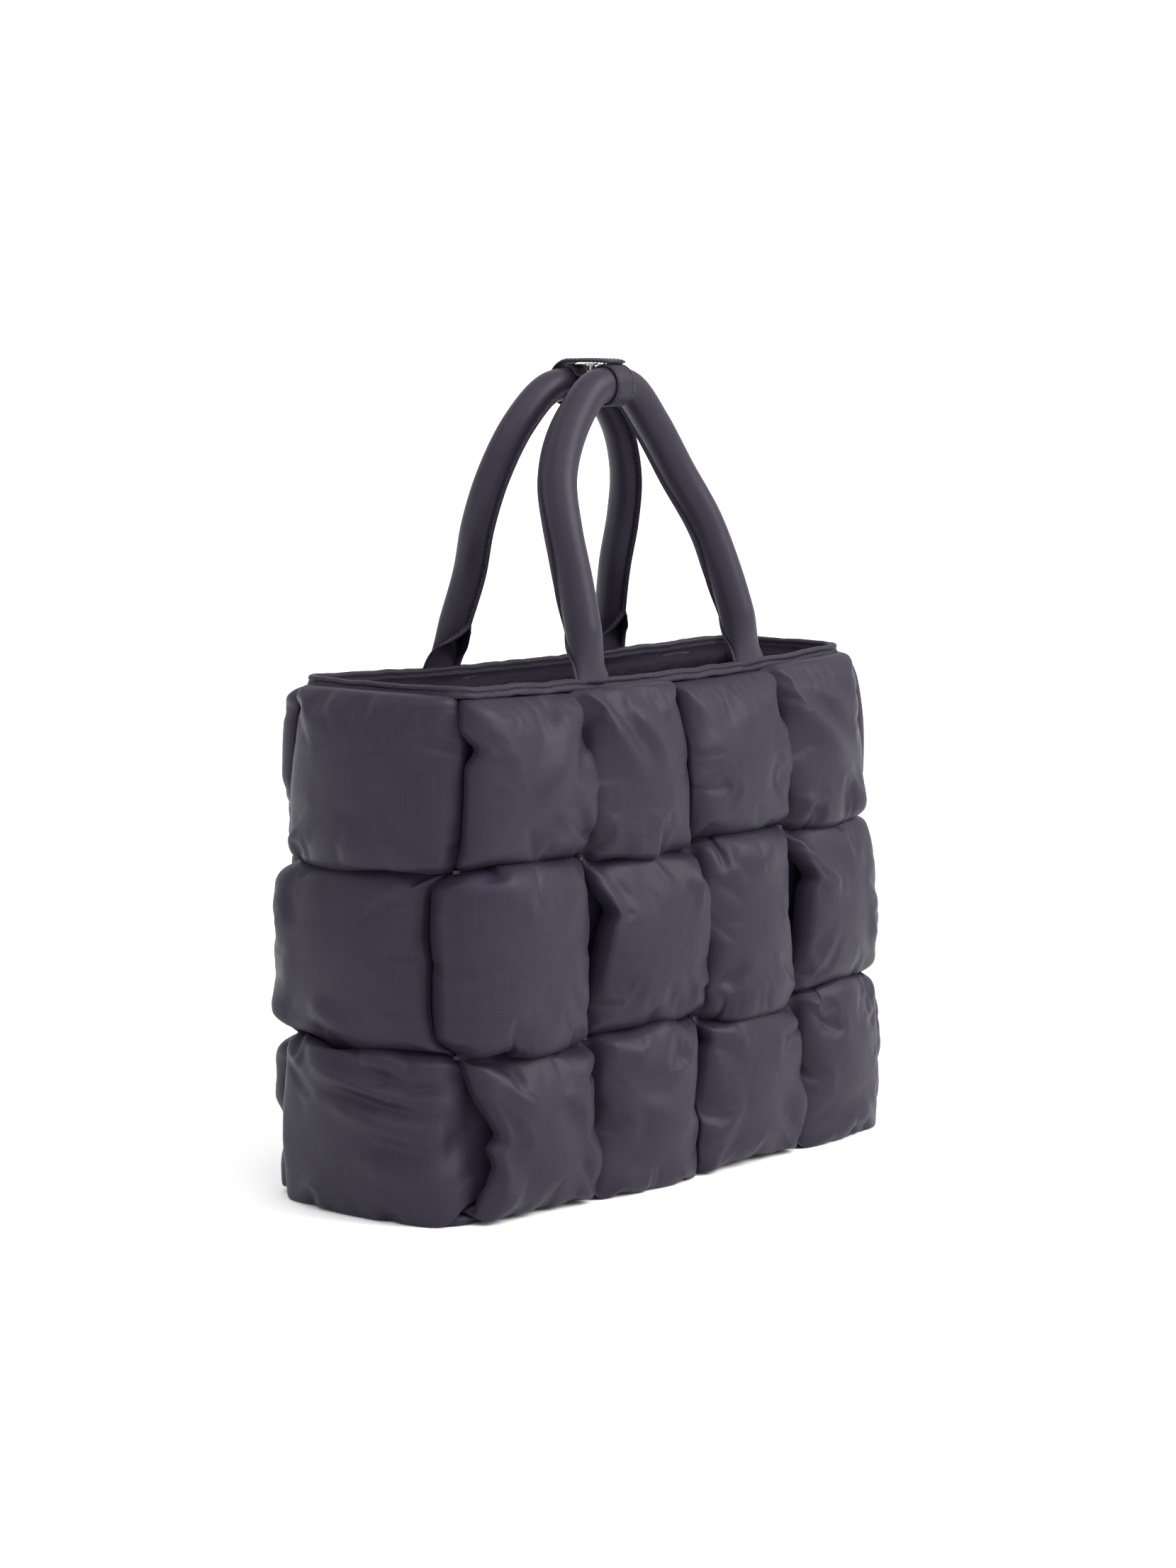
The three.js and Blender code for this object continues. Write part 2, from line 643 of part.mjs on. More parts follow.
// Keeper path seen along X. Distances are from the point midway between the tubes.
function keeperPath() {
  const dipHalf = (SNAP_DIAMETER + KEEPER_THICKNESS) / 2;
  const turn = ({ side, from, to, near, far, steps }) => {
    if (side === 0) {
      return [new THREE.Vector2(dipHalf, KEEPER_DIP), new THREE.Vector2(-dipHalf, KEEPER_DIP)];
    }
    return Array.from({ length: steps + 1 }, (_, i) => {
      const angle = THREE.MathUtils.degToRad(lerp(from, to, i / steps));
      const radius = lerp(KEEPER_NEAR, KEEPER_FAR, lerp(near, far, i / steps));
      const across = side * TUBE_OFFSET + radius * Math.cos(angle);
      return new THREE.Vector2(across, radius * Math.sin(angle));
    });
  };
  const flap = [0, KEEPER_TAIL].map((tail) => new THREE.Vector2(-TUBE_OFFSET - tail, KEEPER_FAR));
  return [...KEEPER_TURNS.flatMap(turn), ...flap];
}

// Flat ribbon round a path: each point is pushed half the thickness to either side
function keeperGeometry() {
  const path = keeperPath();
  const half = KEEPER_THICKNESS / 2;
  const sideways = path.map((point, i) => {
    const before = path[Math.max(i - 1, 0)];
    const after = path[Math.min(i + 1, path.length - 1)];
    const along = point.clone().sub(before).normalize();
    along.add(after.clone().sub(point).normalize());
    const isEnd = i === 0 || i === path.length - 1;
    const mitre = isEnd ? 1 : along.length() / 2;
    along.normalize();
    return new THREE.Vector2(-along.y, along.x).multiplyScalar(half / mitre);
  });
  const oneSide = path.map((point, i) => point.clone().add(sideways[i]));
  const otherSide = path.map((point, i) => point.clone().sub(sideways[i]));
  const shape = new THREE.Shape([...oneSide, ...otherSide.reverse()]);
  const geometry = new THREE.ExtrudeGeometry(shape, { depth: KEEPER_WIDTH, bevelEnabled: false });
  geometry.translate(0, 0, -KEEPER_WIDTH / 2);
  return geometry;
}

// Press snap: two metal flanges on a short neck, closed between the strap's two layers
function snapGeometry() {
  const low = KEEPER_DIP + KEEPER_THICKNESS / 2 + GAP;
  const high = KEEPER_FAR - KEEPER_THICKNESS / 2 - GAP;
  const radius = SNAP_DIAMETER / 2;
  const neck = radius * SNAP_NECK_SHARE;
  const profile = [
    [0, low],
    [radius, low],
    [radius, low + SNAP_FLANGE],
    [neck, low + SNAP_FLANGE],
    [neck, high - SNAP_FLANGE],
    [radius, high - SNAP_FLANGE],
    [radius, high],
    [0, high],
  ];
  return new THREE.LatheGeometry(profile.map(([x, y]) => new THREE.Vector2(x, y)), 12);
}

// Finishes
const nylon = (color) => new THREE.MeshStandardMaterial({ color, roughness: 0.62, metalness: 0 });
const NYLON_COLOURS = { ring: 0x4e4a59, cross: 0x4a4656, long: 0x454151 };
const LINING_COLOUR = 0x3f3b46;
const BAND_COLOUR = 0x484453;
const HANDLE_COLOUR = 0x534f5e;
const KEEPER_COLOUR = 0x413e47;
const SNAP_COLOUR = 0xb9b7bd;

function namedMesh(name, geometry, material) {
  const mesh = new THREE.Mesh(geometry, material);
  mesh.name = name;
  return mesh;
}

const bag = new THREE.Group();

["top", "middle", "bottom"].forEach((level, row) => {
  bag.add(namedMesh(`ring_${level}`, ringGeometry(row), nylon(NYLON_COLOURS.ring)));
});

for (let index = 0; index < LONG_COLUMNS; index++) {
  const geometry = openStripGeometry(crossCells(index));
  bag.add(namedMesh(`cross_strip_${index + 1}`, geometry, nylon(NYLON_COLOURS.cross)));
}

bag.add(namedMesh("long_strip", openStripGeometry(longCells()), nylon(NYLON_COLOURS.long)));
bag.add(namedMesh("lining", liningGeometry(), nylon(LINING_COLOUR)));
bag.add(namedMesh("rim_binding", bandGeometry(), nylon(BAND_COLOUR)));
bag.add(namedMesh("handle_front", handleGeometry(FEET[0], "front"), nylon(HANDLE_COLOUR)));
bag.add(namedMesh("handle_back", handleGeometry(FEET[1], "back"), nylon(HANDLE_COLOUR)));

const keeper = new THREE.Group();
keeper.position.set(TOP_X, 0, TOP_HEIGHT);
const strap = namedMesh("keeper_strap", keeperGeometry(), nylon(KEEPER_COLOUR));
strap.rotation.set(Math.PI / 2, 0, Math.PI / 2, "ZXY");
const metal = new THREE.MeshStandardMaterial({ color: SNAP_COLOUR, roughness: 0.25, metalness: 1 });
const snap = namedMesh("keeper_snap", snapGeometry(), metal);
snap.rotation.x = Math.PI / 2;
keeper.add(strap, snap);
bag.add(keeper);

export default bag;
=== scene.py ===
# %% [markdown]
# # A woven puffer tote bag
# This lesson dresses a plain woven bag of padded nylon strips. The solid model that is loaded
# here fixes every size and place. It is kept for its proportions, and each soft solid in it is
# replaced by a finer piece that sits in the same space.

# %% Load the fixed frame
import math
import random
from collections import namedtuple

import bmesh
import bpy
from mathutils import Matrix, Vector, noise
from mathutils.bvhtree import BVHTree


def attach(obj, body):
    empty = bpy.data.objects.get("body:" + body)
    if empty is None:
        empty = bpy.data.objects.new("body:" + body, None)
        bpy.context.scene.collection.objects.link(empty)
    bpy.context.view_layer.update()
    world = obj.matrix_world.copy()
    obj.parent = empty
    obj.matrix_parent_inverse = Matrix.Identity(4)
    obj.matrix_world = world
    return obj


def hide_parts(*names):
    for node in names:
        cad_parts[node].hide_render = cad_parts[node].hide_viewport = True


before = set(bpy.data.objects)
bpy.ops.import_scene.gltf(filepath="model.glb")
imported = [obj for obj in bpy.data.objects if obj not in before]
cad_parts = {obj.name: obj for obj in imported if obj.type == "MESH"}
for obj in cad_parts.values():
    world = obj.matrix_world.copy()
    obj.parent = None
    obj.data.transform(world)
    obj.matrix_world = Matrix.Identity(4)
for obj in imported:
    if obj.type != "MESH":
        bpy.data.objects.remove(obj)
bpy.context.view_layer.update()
print("solids:", sorted(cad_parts))

# %% [markdown]
# ## Sizes
# All lengths are metres. The body is measured on its core surface, which runs through the middle
# of the woven wall. The strips are then described as heights above or below that surface.

# %% Sizes of the body
MM = 0.001
RIM_HEIGHT = 300 * MM
RIM_LENGTH = 368 * MM
RIM_WIDTH_LEFT = 122 * MM
RIM_WIDTH_RIGHT = 97 * MM
BASE_LENGTH = 378 * MM
BASE_WIDTH = 130 * MM
CORNER_RADIUS = 14 * MM
BASE_HEIGHT = 10 * MM
WALL_BULGE = 14 * MM
END_BULGE = 8 * MM
SWELL_SKEW = 1.4  # moves the fullest place of a long wall towards the right end
RIM_SAG = 4 * MM
FLOOR_GAP = 0.2 * MM  # nothing of the cloth comes nearer to the floor
print("body, mm:", [round(size / MM) for size in (BASE_LENGTH, BASE_WIDTH, RIM_HEIGHT)])

# %% [markdown]
# The wall is a plain weave with ten columns round the bag and three rows down it, and the base is
# four squares long. Each woven square is a pillow, which rises from a crease at its border to a
# crown in the middle. A few shares say how full it is, so the whole bag can be filled differently.

# %% Sizes of the weave
LONG_COLUMNS = 4
ROWS = 3
COLUMNS = 2 * LONG_COLUMNS + 2
FRONT = 1  # column that the front wall starts with; column 0 is the left end
RIGHT = FRONT + LONG_COLUMNS
BACK = RIGHT + 1
ROW_HEIGHT = (RIM_HEIGHT - BASE_HEIGHT) / ROWS
PILLOW_RISE = 25 * MM
CREASE_RISE = 4 * MM
BASE_CREASE_RISE = 12 * MM
INSIDE_DEPTH = 8 * MM
SEWN_THICKNESS = 1.0 * MM
EDGE = 2.5 * MM / ROW_HEIGHT  # flat border of a square, as a share of it
UNDER_SHARE = 0.3  # how thick a strip stays where it is squeezed under another
PILLOW_POWER = 2.5  # the higher, the flatter the top of a square and the steeper its flanks
CORNER_POWER = 4  # the higher, the sharper the corners of a square
DOME_SHARE = 0.16  # share of the crown that is a dome over the flat top
TURN_SHARE = 0.7  # rows in which the wall turns down towards the base
CREASE_FADE = 0.5  # squares in which the crease at the foot grows as deep as the others
BAND_HEIGHT = 7 * MM
ROW_PUFF = [0.92, 1.0, 0.97]
# Height of the rim, of the two seams between rows and of the foot, and how far each swells out
SEAM_HEIGHTS = [(RIM_HEIGHT - BAND_HEIGHT) / RIM_HEIGHT, 0.66, 0.315, BASE_HEIGHT / RIM_HEIGHT]
SEAM_SWELLS = [0.3, 0.85, 1.0, 0.6]
print("a woven square, mm:", [round(size / MM) for size in (RIM_LENGTH / LONG_COLUMNS, ROW_HEIGHT)])

# %% [markdown]
# Three small functions blend values: along a line, within limits, and with a soft start and stop.

# %% Blending
def lerp(low, high, share):
    return low + (high - low) * share


def clamp(value, low=0.0, high=1.0):
    return max(low, min(high, value))


def smoothstep(low, high, value):
    share = clamp((value - low) / (high - low))
    return share * share * (3 - 2 * share)


print("soft blend at a quarter:", round(smoothstep(0, 1, 0.25), 3))

# %% [markdown]
# ## The core surface
# The bag is a soft box. Its four walls are straight lines in plan with rounded corners, and each
# line swells outwards in the middle. A place on the walls is given in weave squares: columns
# counted round the bag from the back left corner, and rows counted down from the rim.

# %% The walls
def seam_value(row, values):
    """A value at a row, between those given for the rim, the two seams and the foot."""
    above = int(clamp(math.floor(row), 0, ROWS - 1))
    return lerp(values[above], values[above + 1], row - above)


def wall_at(column, row):
    """Both ends in plan of the wall that a column is on, its first column and its columns."""
    down = row / ROWS
    half_length = lerp(RIM_LENGTH, BASE_LENGTH, down) / 2
    half_left = lerp(RIM_WIDTH_LEFT, BASE_WIDTH, down) / 2
    half_right = lerp(RIM_WIDTH_RIGHT, BASE_WIDTH, down) / 2
    back_left, front_left = Vector((-half_length, half_left)), Vector((-half_length, -half_left))
    front_right, back_right = Vector((half_length, -half_right)), Vector((half_length, half_right))
    if column < FRONT:
        return back_left, front_left, 0, 1
    if column < RIGHT:
        return front_left, front_right, FRONT, LONG_COLUMNS
    if column < BACK:
        return front_right, back_right, RIGHT, 1
    return back_right, back_left, BACK, LONG_COLUMNS


def plan_point(column, row):
    """Place in plan, rounded at the corners and swollen in the middle, and the dip of the rim."""
    place = column % COLUMNS
    start, end, first, count = wall_at(place, row)
    share = (place - first) / count
    run = end - start
    length = run.length
    direction = run / length
    outward = Vector((direction.y, -direction.x))
    half_arc = CORNER_RADIUS * math.pi / 4
    straight = length - 2 * CORNER_RADIUS
    walked = share * (straight + 2 * half_arc)
    turned = min(walked, straight + 2 * half_arc - walked)
    angle = max(0.0, (half_arc - turned) / CORNER_RADIUS)
    forward = clamp(walked - half_arc, 0, straight) + CORNER_RADIUS
    swing = (-1 if share < 0.5 else 1) * CORNER_RADIUS * math.sin(angle)
    drawn = CORNER_RADIUS * (1 - math.cos(angle))
    leaning = share
    if count == LONG_COLUMNS:
        leaning = share**SWELL_SKEW if first == FRONT else 1 - (1 - share) ** SWELL_SKEW
    bulge = WALL_BULGE if count == LONG_COLUMNS else END_BULGE
    swell = bulge * seam_value(row, SEAM_SWELLS) * math.sin(math.pi * leaning)
    dip = RIM_SAG * math.sin(math.pi * share) * (1 - row / ROWS) if count == LONG_COLUMNS else 0
    return start + direction * (forward + swing) + outward * (swell - drawn), dip


def plan_normal(column, row):
    step = 0.02
    along = plan_point(column + step, row)[0] - plan_point(column - step, row)[0]
    along.normalize()
    return Vector((along.y, -along.x, 0))


def wall_core(column, row):
    """A point of the core surface and the direction that is outwards there."""
    point, dip = plan_point(column, row)
    counted = (row - EDGE) / (1 - EDGE) if row < 1 else row
    height = seam_value(counted, SEAM_HEIGHTS) * RIM_HEIGHT - dip
    tilt = math.pi / 4 * smoothstep(ROWS - TURN_SHARE, ROWS, row)
    normal = plan_normal(column, row) * math.cos(tilt)
    normal.z = -math.sin(tilt)
    return Vector((point.x, point.y, height)), normal


def in_mm(point):
    return [round(value / MM) for value in point]


print("middle of the front wall, mm:", in_mm(wall_core(FRONT + LONG_COLUMNS / 2, ROWS / 2)[0]))

# %% [markdown]
# The base closes the bag below. It is a patch stretched between the feet of the four walls: each
# place blends the four edges round it and takes the doubled corners off again. It could be a flat
# plate too, but a blended patch meets the walls without a step, so the strips run on smoothly.

# %% The base
def base_core(column, share):
    """A point of the base and its outward direction: share counts from the front to the back."""
    u = column / LONG_COLUMNS
    edges = [
        (1 - share, wall_core(FRONT + column, ROWS)),
        (share, wall_core(COLUMNS - column, ROWS)),
        (1 - u, wall_core(FRONT - share, ROWS)),
        (u, wall_core(RIGHT + share, ROWS)),
        (-(1 - u) * (1 - share), wall_core(FRONT, ROWS)),
        (-u * (1 - share), wall_core(RIGHT, ROWS)),
        (-(1 - u) * share, wall_core(COLUMNS, ROWS)),
        (-u * share, wall_core(BACK, ROWS)),
    ]
    point, normal = Vector((0, 0, 0)), Vector((0, 0, 0))
    for weight, (edge_point, edge_normal) in edges:
        point += edge_point * weight
        normal += edge_normal * weight
    return point, normal.normalized()


print("middle of the base, mm:", in_mm(base_core(LONG_COLUMNS / 2, 0.5)[0]))

# %% [markdown]
# ## The weave
# Each strip is a flat tube of nylon filled with wadding. It goes over one square and under the
# next. On an over square it shows its crowned top and its two sewn edges, which lie on the flanks
# of the neighbours. At both ends of the square it dives under the neighbours' sewn edges.

# %% Profile of a padded square
def trimmed(share):
    """Share of the way across a square, counted between its flat borders."""
    return clamp((share - EDGE) / (1 - 2 * EDGE))


def crowned(share):
    return math.sqrt(1 - abs(2 * share - 1) ** PILLOW_POWER)


def pillow(share):
    """Height of a puffed profile: 0 on both borders, 1 in the middle, with steep flanks."""
    return crowned(trimmed(share))


def square_rise(along, across):
    """Share of its crown that a taut square reaches at a place: 0 on its edges, 1 in the middle."""
    near_end, near_side = (min(share, 1 - share) for share in (along, across))
    if near_end <= 0 or near_side <= 0:
        return 0
    nearest = (near_end**-CORNER_POWER + near_side**-CORNER_POWER) ** (-1 / CORNER_POWER)
    dome = (1 - (1 - 2 * near_end) ** 2) * (1 - (1 - 2 * near_side) ** 2)
    return crowned(nearest) * lerp(1 - DOME_SHARE, 1, dome)


print("profile of a square in tenths:", [round(pillow(tenth / 10), 2) for tenth in range(11)])

# %% [markdown]
# A place on the bag holds all that the strips ask for: where it is, which way is outwards, where
# in its square it lies and how far from the foot. The weave isn't quite even. In the middle row
# the front's first strip has pulled the border to its left, so the border lines are shifted there.

# %% Places on the bag
Place = namedtuple("Place", "kind column row x y point normal from_bottom puff")
WARPS = [(1, 1.5, -0.105), (0, 1.5, -0.03)]  # a border line's column, its row, and its shift in columns
WARP_REACH, WARP_FADE = 0.54, 0.16  # rows above and below that a shift reaches, and in which it fades


def warped(column, row):
    """Column on the bag of a column of the weave, where a strip has pulled its neighbour aside."""
    for line, level, shift in WARPS:
        beside = (column - line + COLUMNS / 2) % COLUMNS - COLUMNS / 2
        reach = math.cos(clamp(beside, -1, 1) * math.pi / 2) ** 2
        column += shift * reach * smoothstep(0, WARP_FADE, WARP_REACH - abs(row - level))
    return column


def wall_place(column, row):
    row = clamp(row, 0, ROWS)
    square = int(clamp(math.floor(row), 0, ROWS - 1))
    point, normal = wall_core(warped(column, row), row)
    return Place("wall", column, row, column % 1, row - square, point, normal, ROWS - row, ROW_PUFF[square])


def base_place(column, share):
    column, share = clamp(column, 0, LONG_COLUMNS), clamp(share)
    square = int(clamp(math.floor(column), 0, LONG_COLUMNS - 1))
    point, normal = base_core(column, share)
    from_bottom = min(column, LONG_COLUMNS - column, share, 1 - share)
    return Place("base", column, share, column - square, share, point, normal, from_bottom, 1)


print("shift of the first border in the middle row:", round(warped(FRONT, 1.5) - FRONT, 3), "columns")

# %% [markdown]
# Heights over the core surface say how the layers lie. An over square rises from the crease to
# its crown, and it is cut off at the floor. The inner side of the wall bulges into the bag. The
# corners of the squares are pulled in deepest, because four squares meet there and leave a hole.

# %% Heights over the core surface
CORNER_DROP = 1 * MM
INSIDE_AT_CREASE = 3.5 * MM


def crease_height(place):
    return lerp(BASE_CREASE_RISE, CREASE_RISE, smoothstep(0, CREASE_FADE, place.from_bottom))


def floor_limit(place):
    """Height at which a place that faces down would touch the floor."""
    return place.point.z / -place.normal.z if place.normal.z < -0.05 else 1.0


def over_height(place):
    """Height of the upper side of an over square."""
    crease = crease_height(place)
    across, down = pillow(place.x), pillow(place.y)
    ridge = across + down - across * down
    corner = crease - CREASE_RISE - CORNER_DROP
    crown = (place.puff * PILLOW_RISE - crease) * square_rise(trimmed(place.x), trimmed(place.y))
    return min(lerp(corner, crease, ridge) + crown, floor_limit(place))


def inner_height(place):
    """Height of the wall's inner side, which is below zero."""
    across, down = pillow(place.x), pillow(place.y)
    return lerp(-INSIDE_AT_CREASE, -INSIDE_DEPTH, across + down - across * down)


crown_place = wall_place(FRONT + 0.5, 0.5)
print("crown and inner side of a square, mm:", in_mm([over_height(crown_place), inner_height(crown_place)]))

# %% [markdown]
# ## The sewn edges
# The two long sides of a strip are sewn, and on an over square they reach a few millimetres past
# its border. A stuffed edge doesn't bend evenly but breaks in short straight runs with kinks
# between them. Most edges get kinks by seeded chance. Those that make the bag's own look, where an
# edge has slipped far back or bulges over its neighbour, are given one by one.

# %% Edges in straight runs
SHUFFLE = random.Random(11)
# Edges given one by one: share of the way along the edge, and reach in mm past the border there
EDGE_RUNS = {
    ("wall_1_0", "low"): [(0, 0), (0.2, 1), (0.31, -5), (0.42, -1), (0.85, 0), (1, 2)],
    ("wall_1_0", "high"): [(0, -3), (0.3, 2), (0.55, 6), (0.62, 4), (0.9, 3), (1, -1)],
    ("wall_3_0", "low"): [(0, 1), (0.35, 1), (0.6, 5), (0.66, 2), (0.93, 1), (1, -1)],
    ("wall_2_1", "low"): [(0, 1), (0.14, -2), (0.3, -11), (0.36, -9), (0.7, -4), (0.95, 0), (1, 0)],
    ("wall_4_1", "low"): [(0, 1), (0.14, -3), (0.3, -13), (0.38, -9), (0.7, -6), (0.95, 0), (1, 0)],
    ("wall_1_2", "low"): [(0, 1), (0.25, -4), (0.52, -14), (0.58, -9), (0.68, -12), (0.85, -7), (1, -4)],
    ("wall_3_2", "low"): [(0, 1), (0.08, -3), (0.16, -6), (0.22, -2), (0.55, 2), (0.8, 4), (1, 0)],
    ("wall_0_1", "high"): [(0, -1), (0.12, -2), (0.35, -4), (0.5, -2), (0.75, -1), (0.95, 2), (1, 1)],
    ("wall_0_1", "foot"): [(0, 0), (1, 0)],
}


def kinked_edge(name, side):
    """Reach of one sewn edge past its border, in metres, at a few places along it."""
    if (name, side) in EDGE_RUNS:
        return [(place, reach * MM) for place, reach in EDGE_RUNS[name, side]]
    places = [0.0, 0.07, 0.26 + SHUFFLE.uniform(-0.07, 0.07), 0.5 + SHUFFLE.uniform(-0.1, 0.1),
              0.75 + SHUFFLE.uniform(-0.07, 0.07), 0.93, 1.0]
    reaches = [-1, 1.5, SHUFFLE.uniform(1, 4), SHUFFLE.uniform(2, 5.5), SHUFFLE.uniform(1, 4), 1.5, -1]
    return [(place, reach * MM) for place, reach in zip(places, reaches)]


def run_value(runs, share):
    for (start, low), (end, high) in zip(runs, runs[1:]):
        if share <= end:
            return lerp(low, high, (share - start) / (end - start))
    return runs[-1][1]


print("edges shaped by hand:", len(EDGE_RUNS))

# %% [markdown]
# ## Squares along a strip
# A strip is walked square by square. Each square knows how its own along and across shares turn
# into a place on the bag, and whether the strip lies over or under there. One rule decides that
# for the whole wall: upright strips are on top where column and row add up to an odd number.

# %% Squares along a strip
Square = namedtuple("Square", "name is_over locate edges")
BASE_EDGE = -2.5 * MM  # reach of the edges under the base, which stay within their square


def upright_is_over(column, row):
    return (column + row) % 2 == 1


def wall_square(column, row, is_over, locate, low, high):
    name = f"wall_{column}_{row}"
    edges = (kinked_edge(name, low), kinked_edge(name, high)) if is_over else None
    return Square(name, is_over, locate, edges)


def ring_squares(row):
    def square(column):
        return wall_square(
            column, row, not upright_is_over(column, row),
            lambda along, across: wall_place(column + along, row + across), "top", "foot")
    return [square(column) for column in range(COLUMNS)]


def down_squares(column, mirrored=False):
    def square(row):
        turn = (lambda across: 1 - across) if mirrored else (lambda across: across)
        return wall_square(
            column, row, upright_is_over(column, row),
            lambda along, across: wall_place(column + turn(across), row + along),
            "high" if mirrored else "low", "low" if mirrored else "high")
    return [square(row) for row in range(ROWS)]


def up_squares(column, mirrored=False):
    def square(row):
        turn = (lambda across: across) if mirrored else (lambda across: 1 - across)
        return wall_square(
            column, row, upright_is_over(column, row),
            lambda along, across: wall_place(column + turn(across), row + 1 - along),
            "low" if mirrored else "high", "high" if mirrored else "low")
    return [square(row) for row in reversed(range(ROWS))]


def base_square(column, is_over, locate):
    flat = [(0, BASE_EDGE), (1, BASE_EDGE)]
    return Square(f"base_{column}", is_over, locate, (flat, flat) if is_over else None)


def cross_squares(index):
    under = base_square(index, index % 2 == 1, lambda along, across: base_place(index + across, along))
    return [*down_squares(FRONT + index), under, *up_squares(COLUMNS - 1 - index)]


def long_squares():
    def under(column):
        return base_square(column, column % 2 == 0, lambda along, across: base_place(column + along, across))
    return [*down_squares(0, True), *map(under, range(LONG_COLUMNS)), *up_squares(RIGHT, True)]


uprights = sum(upright_is_over(column, row) for column in range(COLUMNS) for row in range(ROWS))
print("wall squares with an upright strip on top:", uprights, "of", COLUMNS * ROWS)

# %% [markdown]
# ## Stations along a strip
# A real strip is a flat tube of nylon, sewn along both sides and stuffed. It is described by
# stations along it. Each knows its square, how far the sewn edges reach and how high they lie on
# the neighbours' flanks. Over squares get many stations and hidden ones few.

# %% Stations of a strip
OVER_SEGMENTS, UNDER_SEGMENTS = 36, 12
TOP_SEGMENTS, BOTTOM_SEGMENTS = 36, 8
SECTION_SEGMENTS = TOP_SEGMENTS + BOTTOM_SEGMENTS
HIDDEN_REACH = -2.5 * MM  # reach of the edges of a hidden square, which stay inside it
LAY = 0.6 * MM  # air between a sewn edge and the flank that it lies on
SEAM_CREASE = 0.75  # how sharp the subdivision keeps a sewn edge
CUT_LENGTH = 109 * MM  # cloth that an over square takes along the strip
CUT_WIDTH = 110 * MM  # and across it
LIE_LOWER = 0.3 * MM  # how far the top of a hidden square keeps below the over square
WELD = 0.05 * MM

Station = namedtuple("Station", "square along low high low_height high_height cut")


def make_station(square, along, cut):
    if not square.is_over:
        inset = -HIDDEN_REACH / ROW_HEIGHT
        return Station(square, along, inset, 1 - inset, 0, 0, cut)
    low, high = (run_value(edge, along) / ROW_HEIGHT for edge in square.edges)
    rest = [over_height(square.locate(along, edge)) + LAY + SEWN_THICKNESS for edge in (-low, 1 + high)]
    return Station(square, along, -low, 1 + high, *rest, cut)


def strip_heights(station, across_share):
    """Place, top height and bottom height of a strip at a share across it."""
    square, along = station.square, station.along
    across = lerp(station.low, station.high, across_share)
    place = square.locate(along, across)
    inner = inner_height(place)
    if not square.is_over:
        outer = over_height(place)
        side, end = pillow(along), pillow(across)
        middle = side * (1 - (1 - UNDER_SHARE) * end)
        between = inner + SEWN_THICKNESS + (outer - inner - 2 * SEWN_THICKNESS) * middle
        if along in (0, 1):
            between = outer
        return place, between - LIE_LOWER, inner
    end_share = trimmed(along)
    near_end, near_side = min(end_share, 1 - end_share), min(across_share, 1 - across_share)
    side = lerp(station.low_height, station.high_height, across_share)
    base = (side * near_end + crease_height(place) * near_side) / max(near_end + near_side, 0.001)
    crown = place.puff * PILLOW_RISE
    top = min(base + max(crown - base, 0) * square_rise(end_share, across_share), floor_limit(place))
    if across < 0 or across > 1:
        return place, top, min(over_height(place) + LAY, top - SEWN_THICKNESS / 2)
    outer = over_height(place)
    middle = pillow(across) * (1 - (1 - UNDER_SHARE) * pillow(along))
    between = inner + SEWN_THICKNESS + (outer - inner - 2 * SEWN_THICKNESS) * middle
    bottom = lerp(outer, between, smoothstep(0, 0.06, min(across, 1 - across)))
    return place, top, min(bottom, top - SEWN_THICKNESS / 2)


def strip_stations(squares, closed):
    """All stations of a strip; one that isn't closed stops just short of the rim at both ends."""
    stations, cut = [], 0.0
    for square in squares:
        count = OVER_SEGMENTS if square.is_over else UNDER_SEGMENTS
        length = CUT_LENGTH if square.is_over else ROW_HEIGHT
        for step in range(count):
            along = step / count
            if not closed and square is squares[0]:
                along = max(along, EDGE)
            stations.append(make_station(square, along, cut + length * step / count))
        cut += length
    last = make_station(squares[0], 0.0, cut) if closed else make_station(squares[-1], 1 - EDGE, cut)
    return [*stations, last]


def held_share(station, on_top, across_share, place):
    """How firmly a vertex is held during the simulation: 1 where it is hidden or sewn down."""
    if place.kind == "base" or place.row < 2 * EDGE:
        return 1
    if station.square.is_over:
        return 0 if on_top else smoothstep(0.02, 0.2, min(across_share, 1 - across_share))
    return smoothstep(0.0, 0.15, min(station.along, 1 - station.along)) if on_top else 1


print("segments of a square:", OVER_SEGMENTS, "along,", SECTION_SEGMENTS, "round")

# %% [markdown]
# ## One strip as a mesh
# A strip starts as a flat grid: its length is the strip's length, and its height goes once round
# the tube, over the top and back along the inside. Each vertex is then moved to its place on the
# bag, and the two long sides are merged. A solid cut with modifiers would give puffs too, but a
# grid keeps its rows along the cloth, so that folds, stitches and streaks can follow them.

# %% Mesh helpers
def lay_out(work, places):
    """Write where each vertex lies on the flat cloth, in metres, as the coordinates "cloth"."""
    uv = work.loops.layers.uv.new("cloth")
    for face in work.faces:
        for loop in face.loops:
            loop[uv].uv = places[loop.vert]


def close_up(work, weld):
    """Merge what lies together, fill the open ends and turn all faces outwards."""
    bmesh.ops.remove_doubles(work, verts=work.verts, dist=weld)
    open_edges = [edge for edge in work.edges if edge.is_boundary]
    if open_edges:
        bmesh.ops.holes_fill(work, edges=open_edges, sides=0)
    bmesh.ops.recalc_face_normals(work, faces=work.faces)


def finish_mesh(name, work):
    mesh = bpy.data.meshes.new(name)
    work.to_mesh(mesh)
    work.free()
    mesh.shade_smooth()
    piece = bpy.data.objects.new(name, mesh)
    bpy.context.scene.collection.objects.link(piece)
    return piece


print("vertices nearer to each other than", round(WELD / MM, 2), "mm are merged")

# %% [markdown]
# Each vertex also carries what the later steps ask for: how firmly it is pinned, how much spare
# cloth lies round it, which way is outwards, its square, and its number along and round the strip.

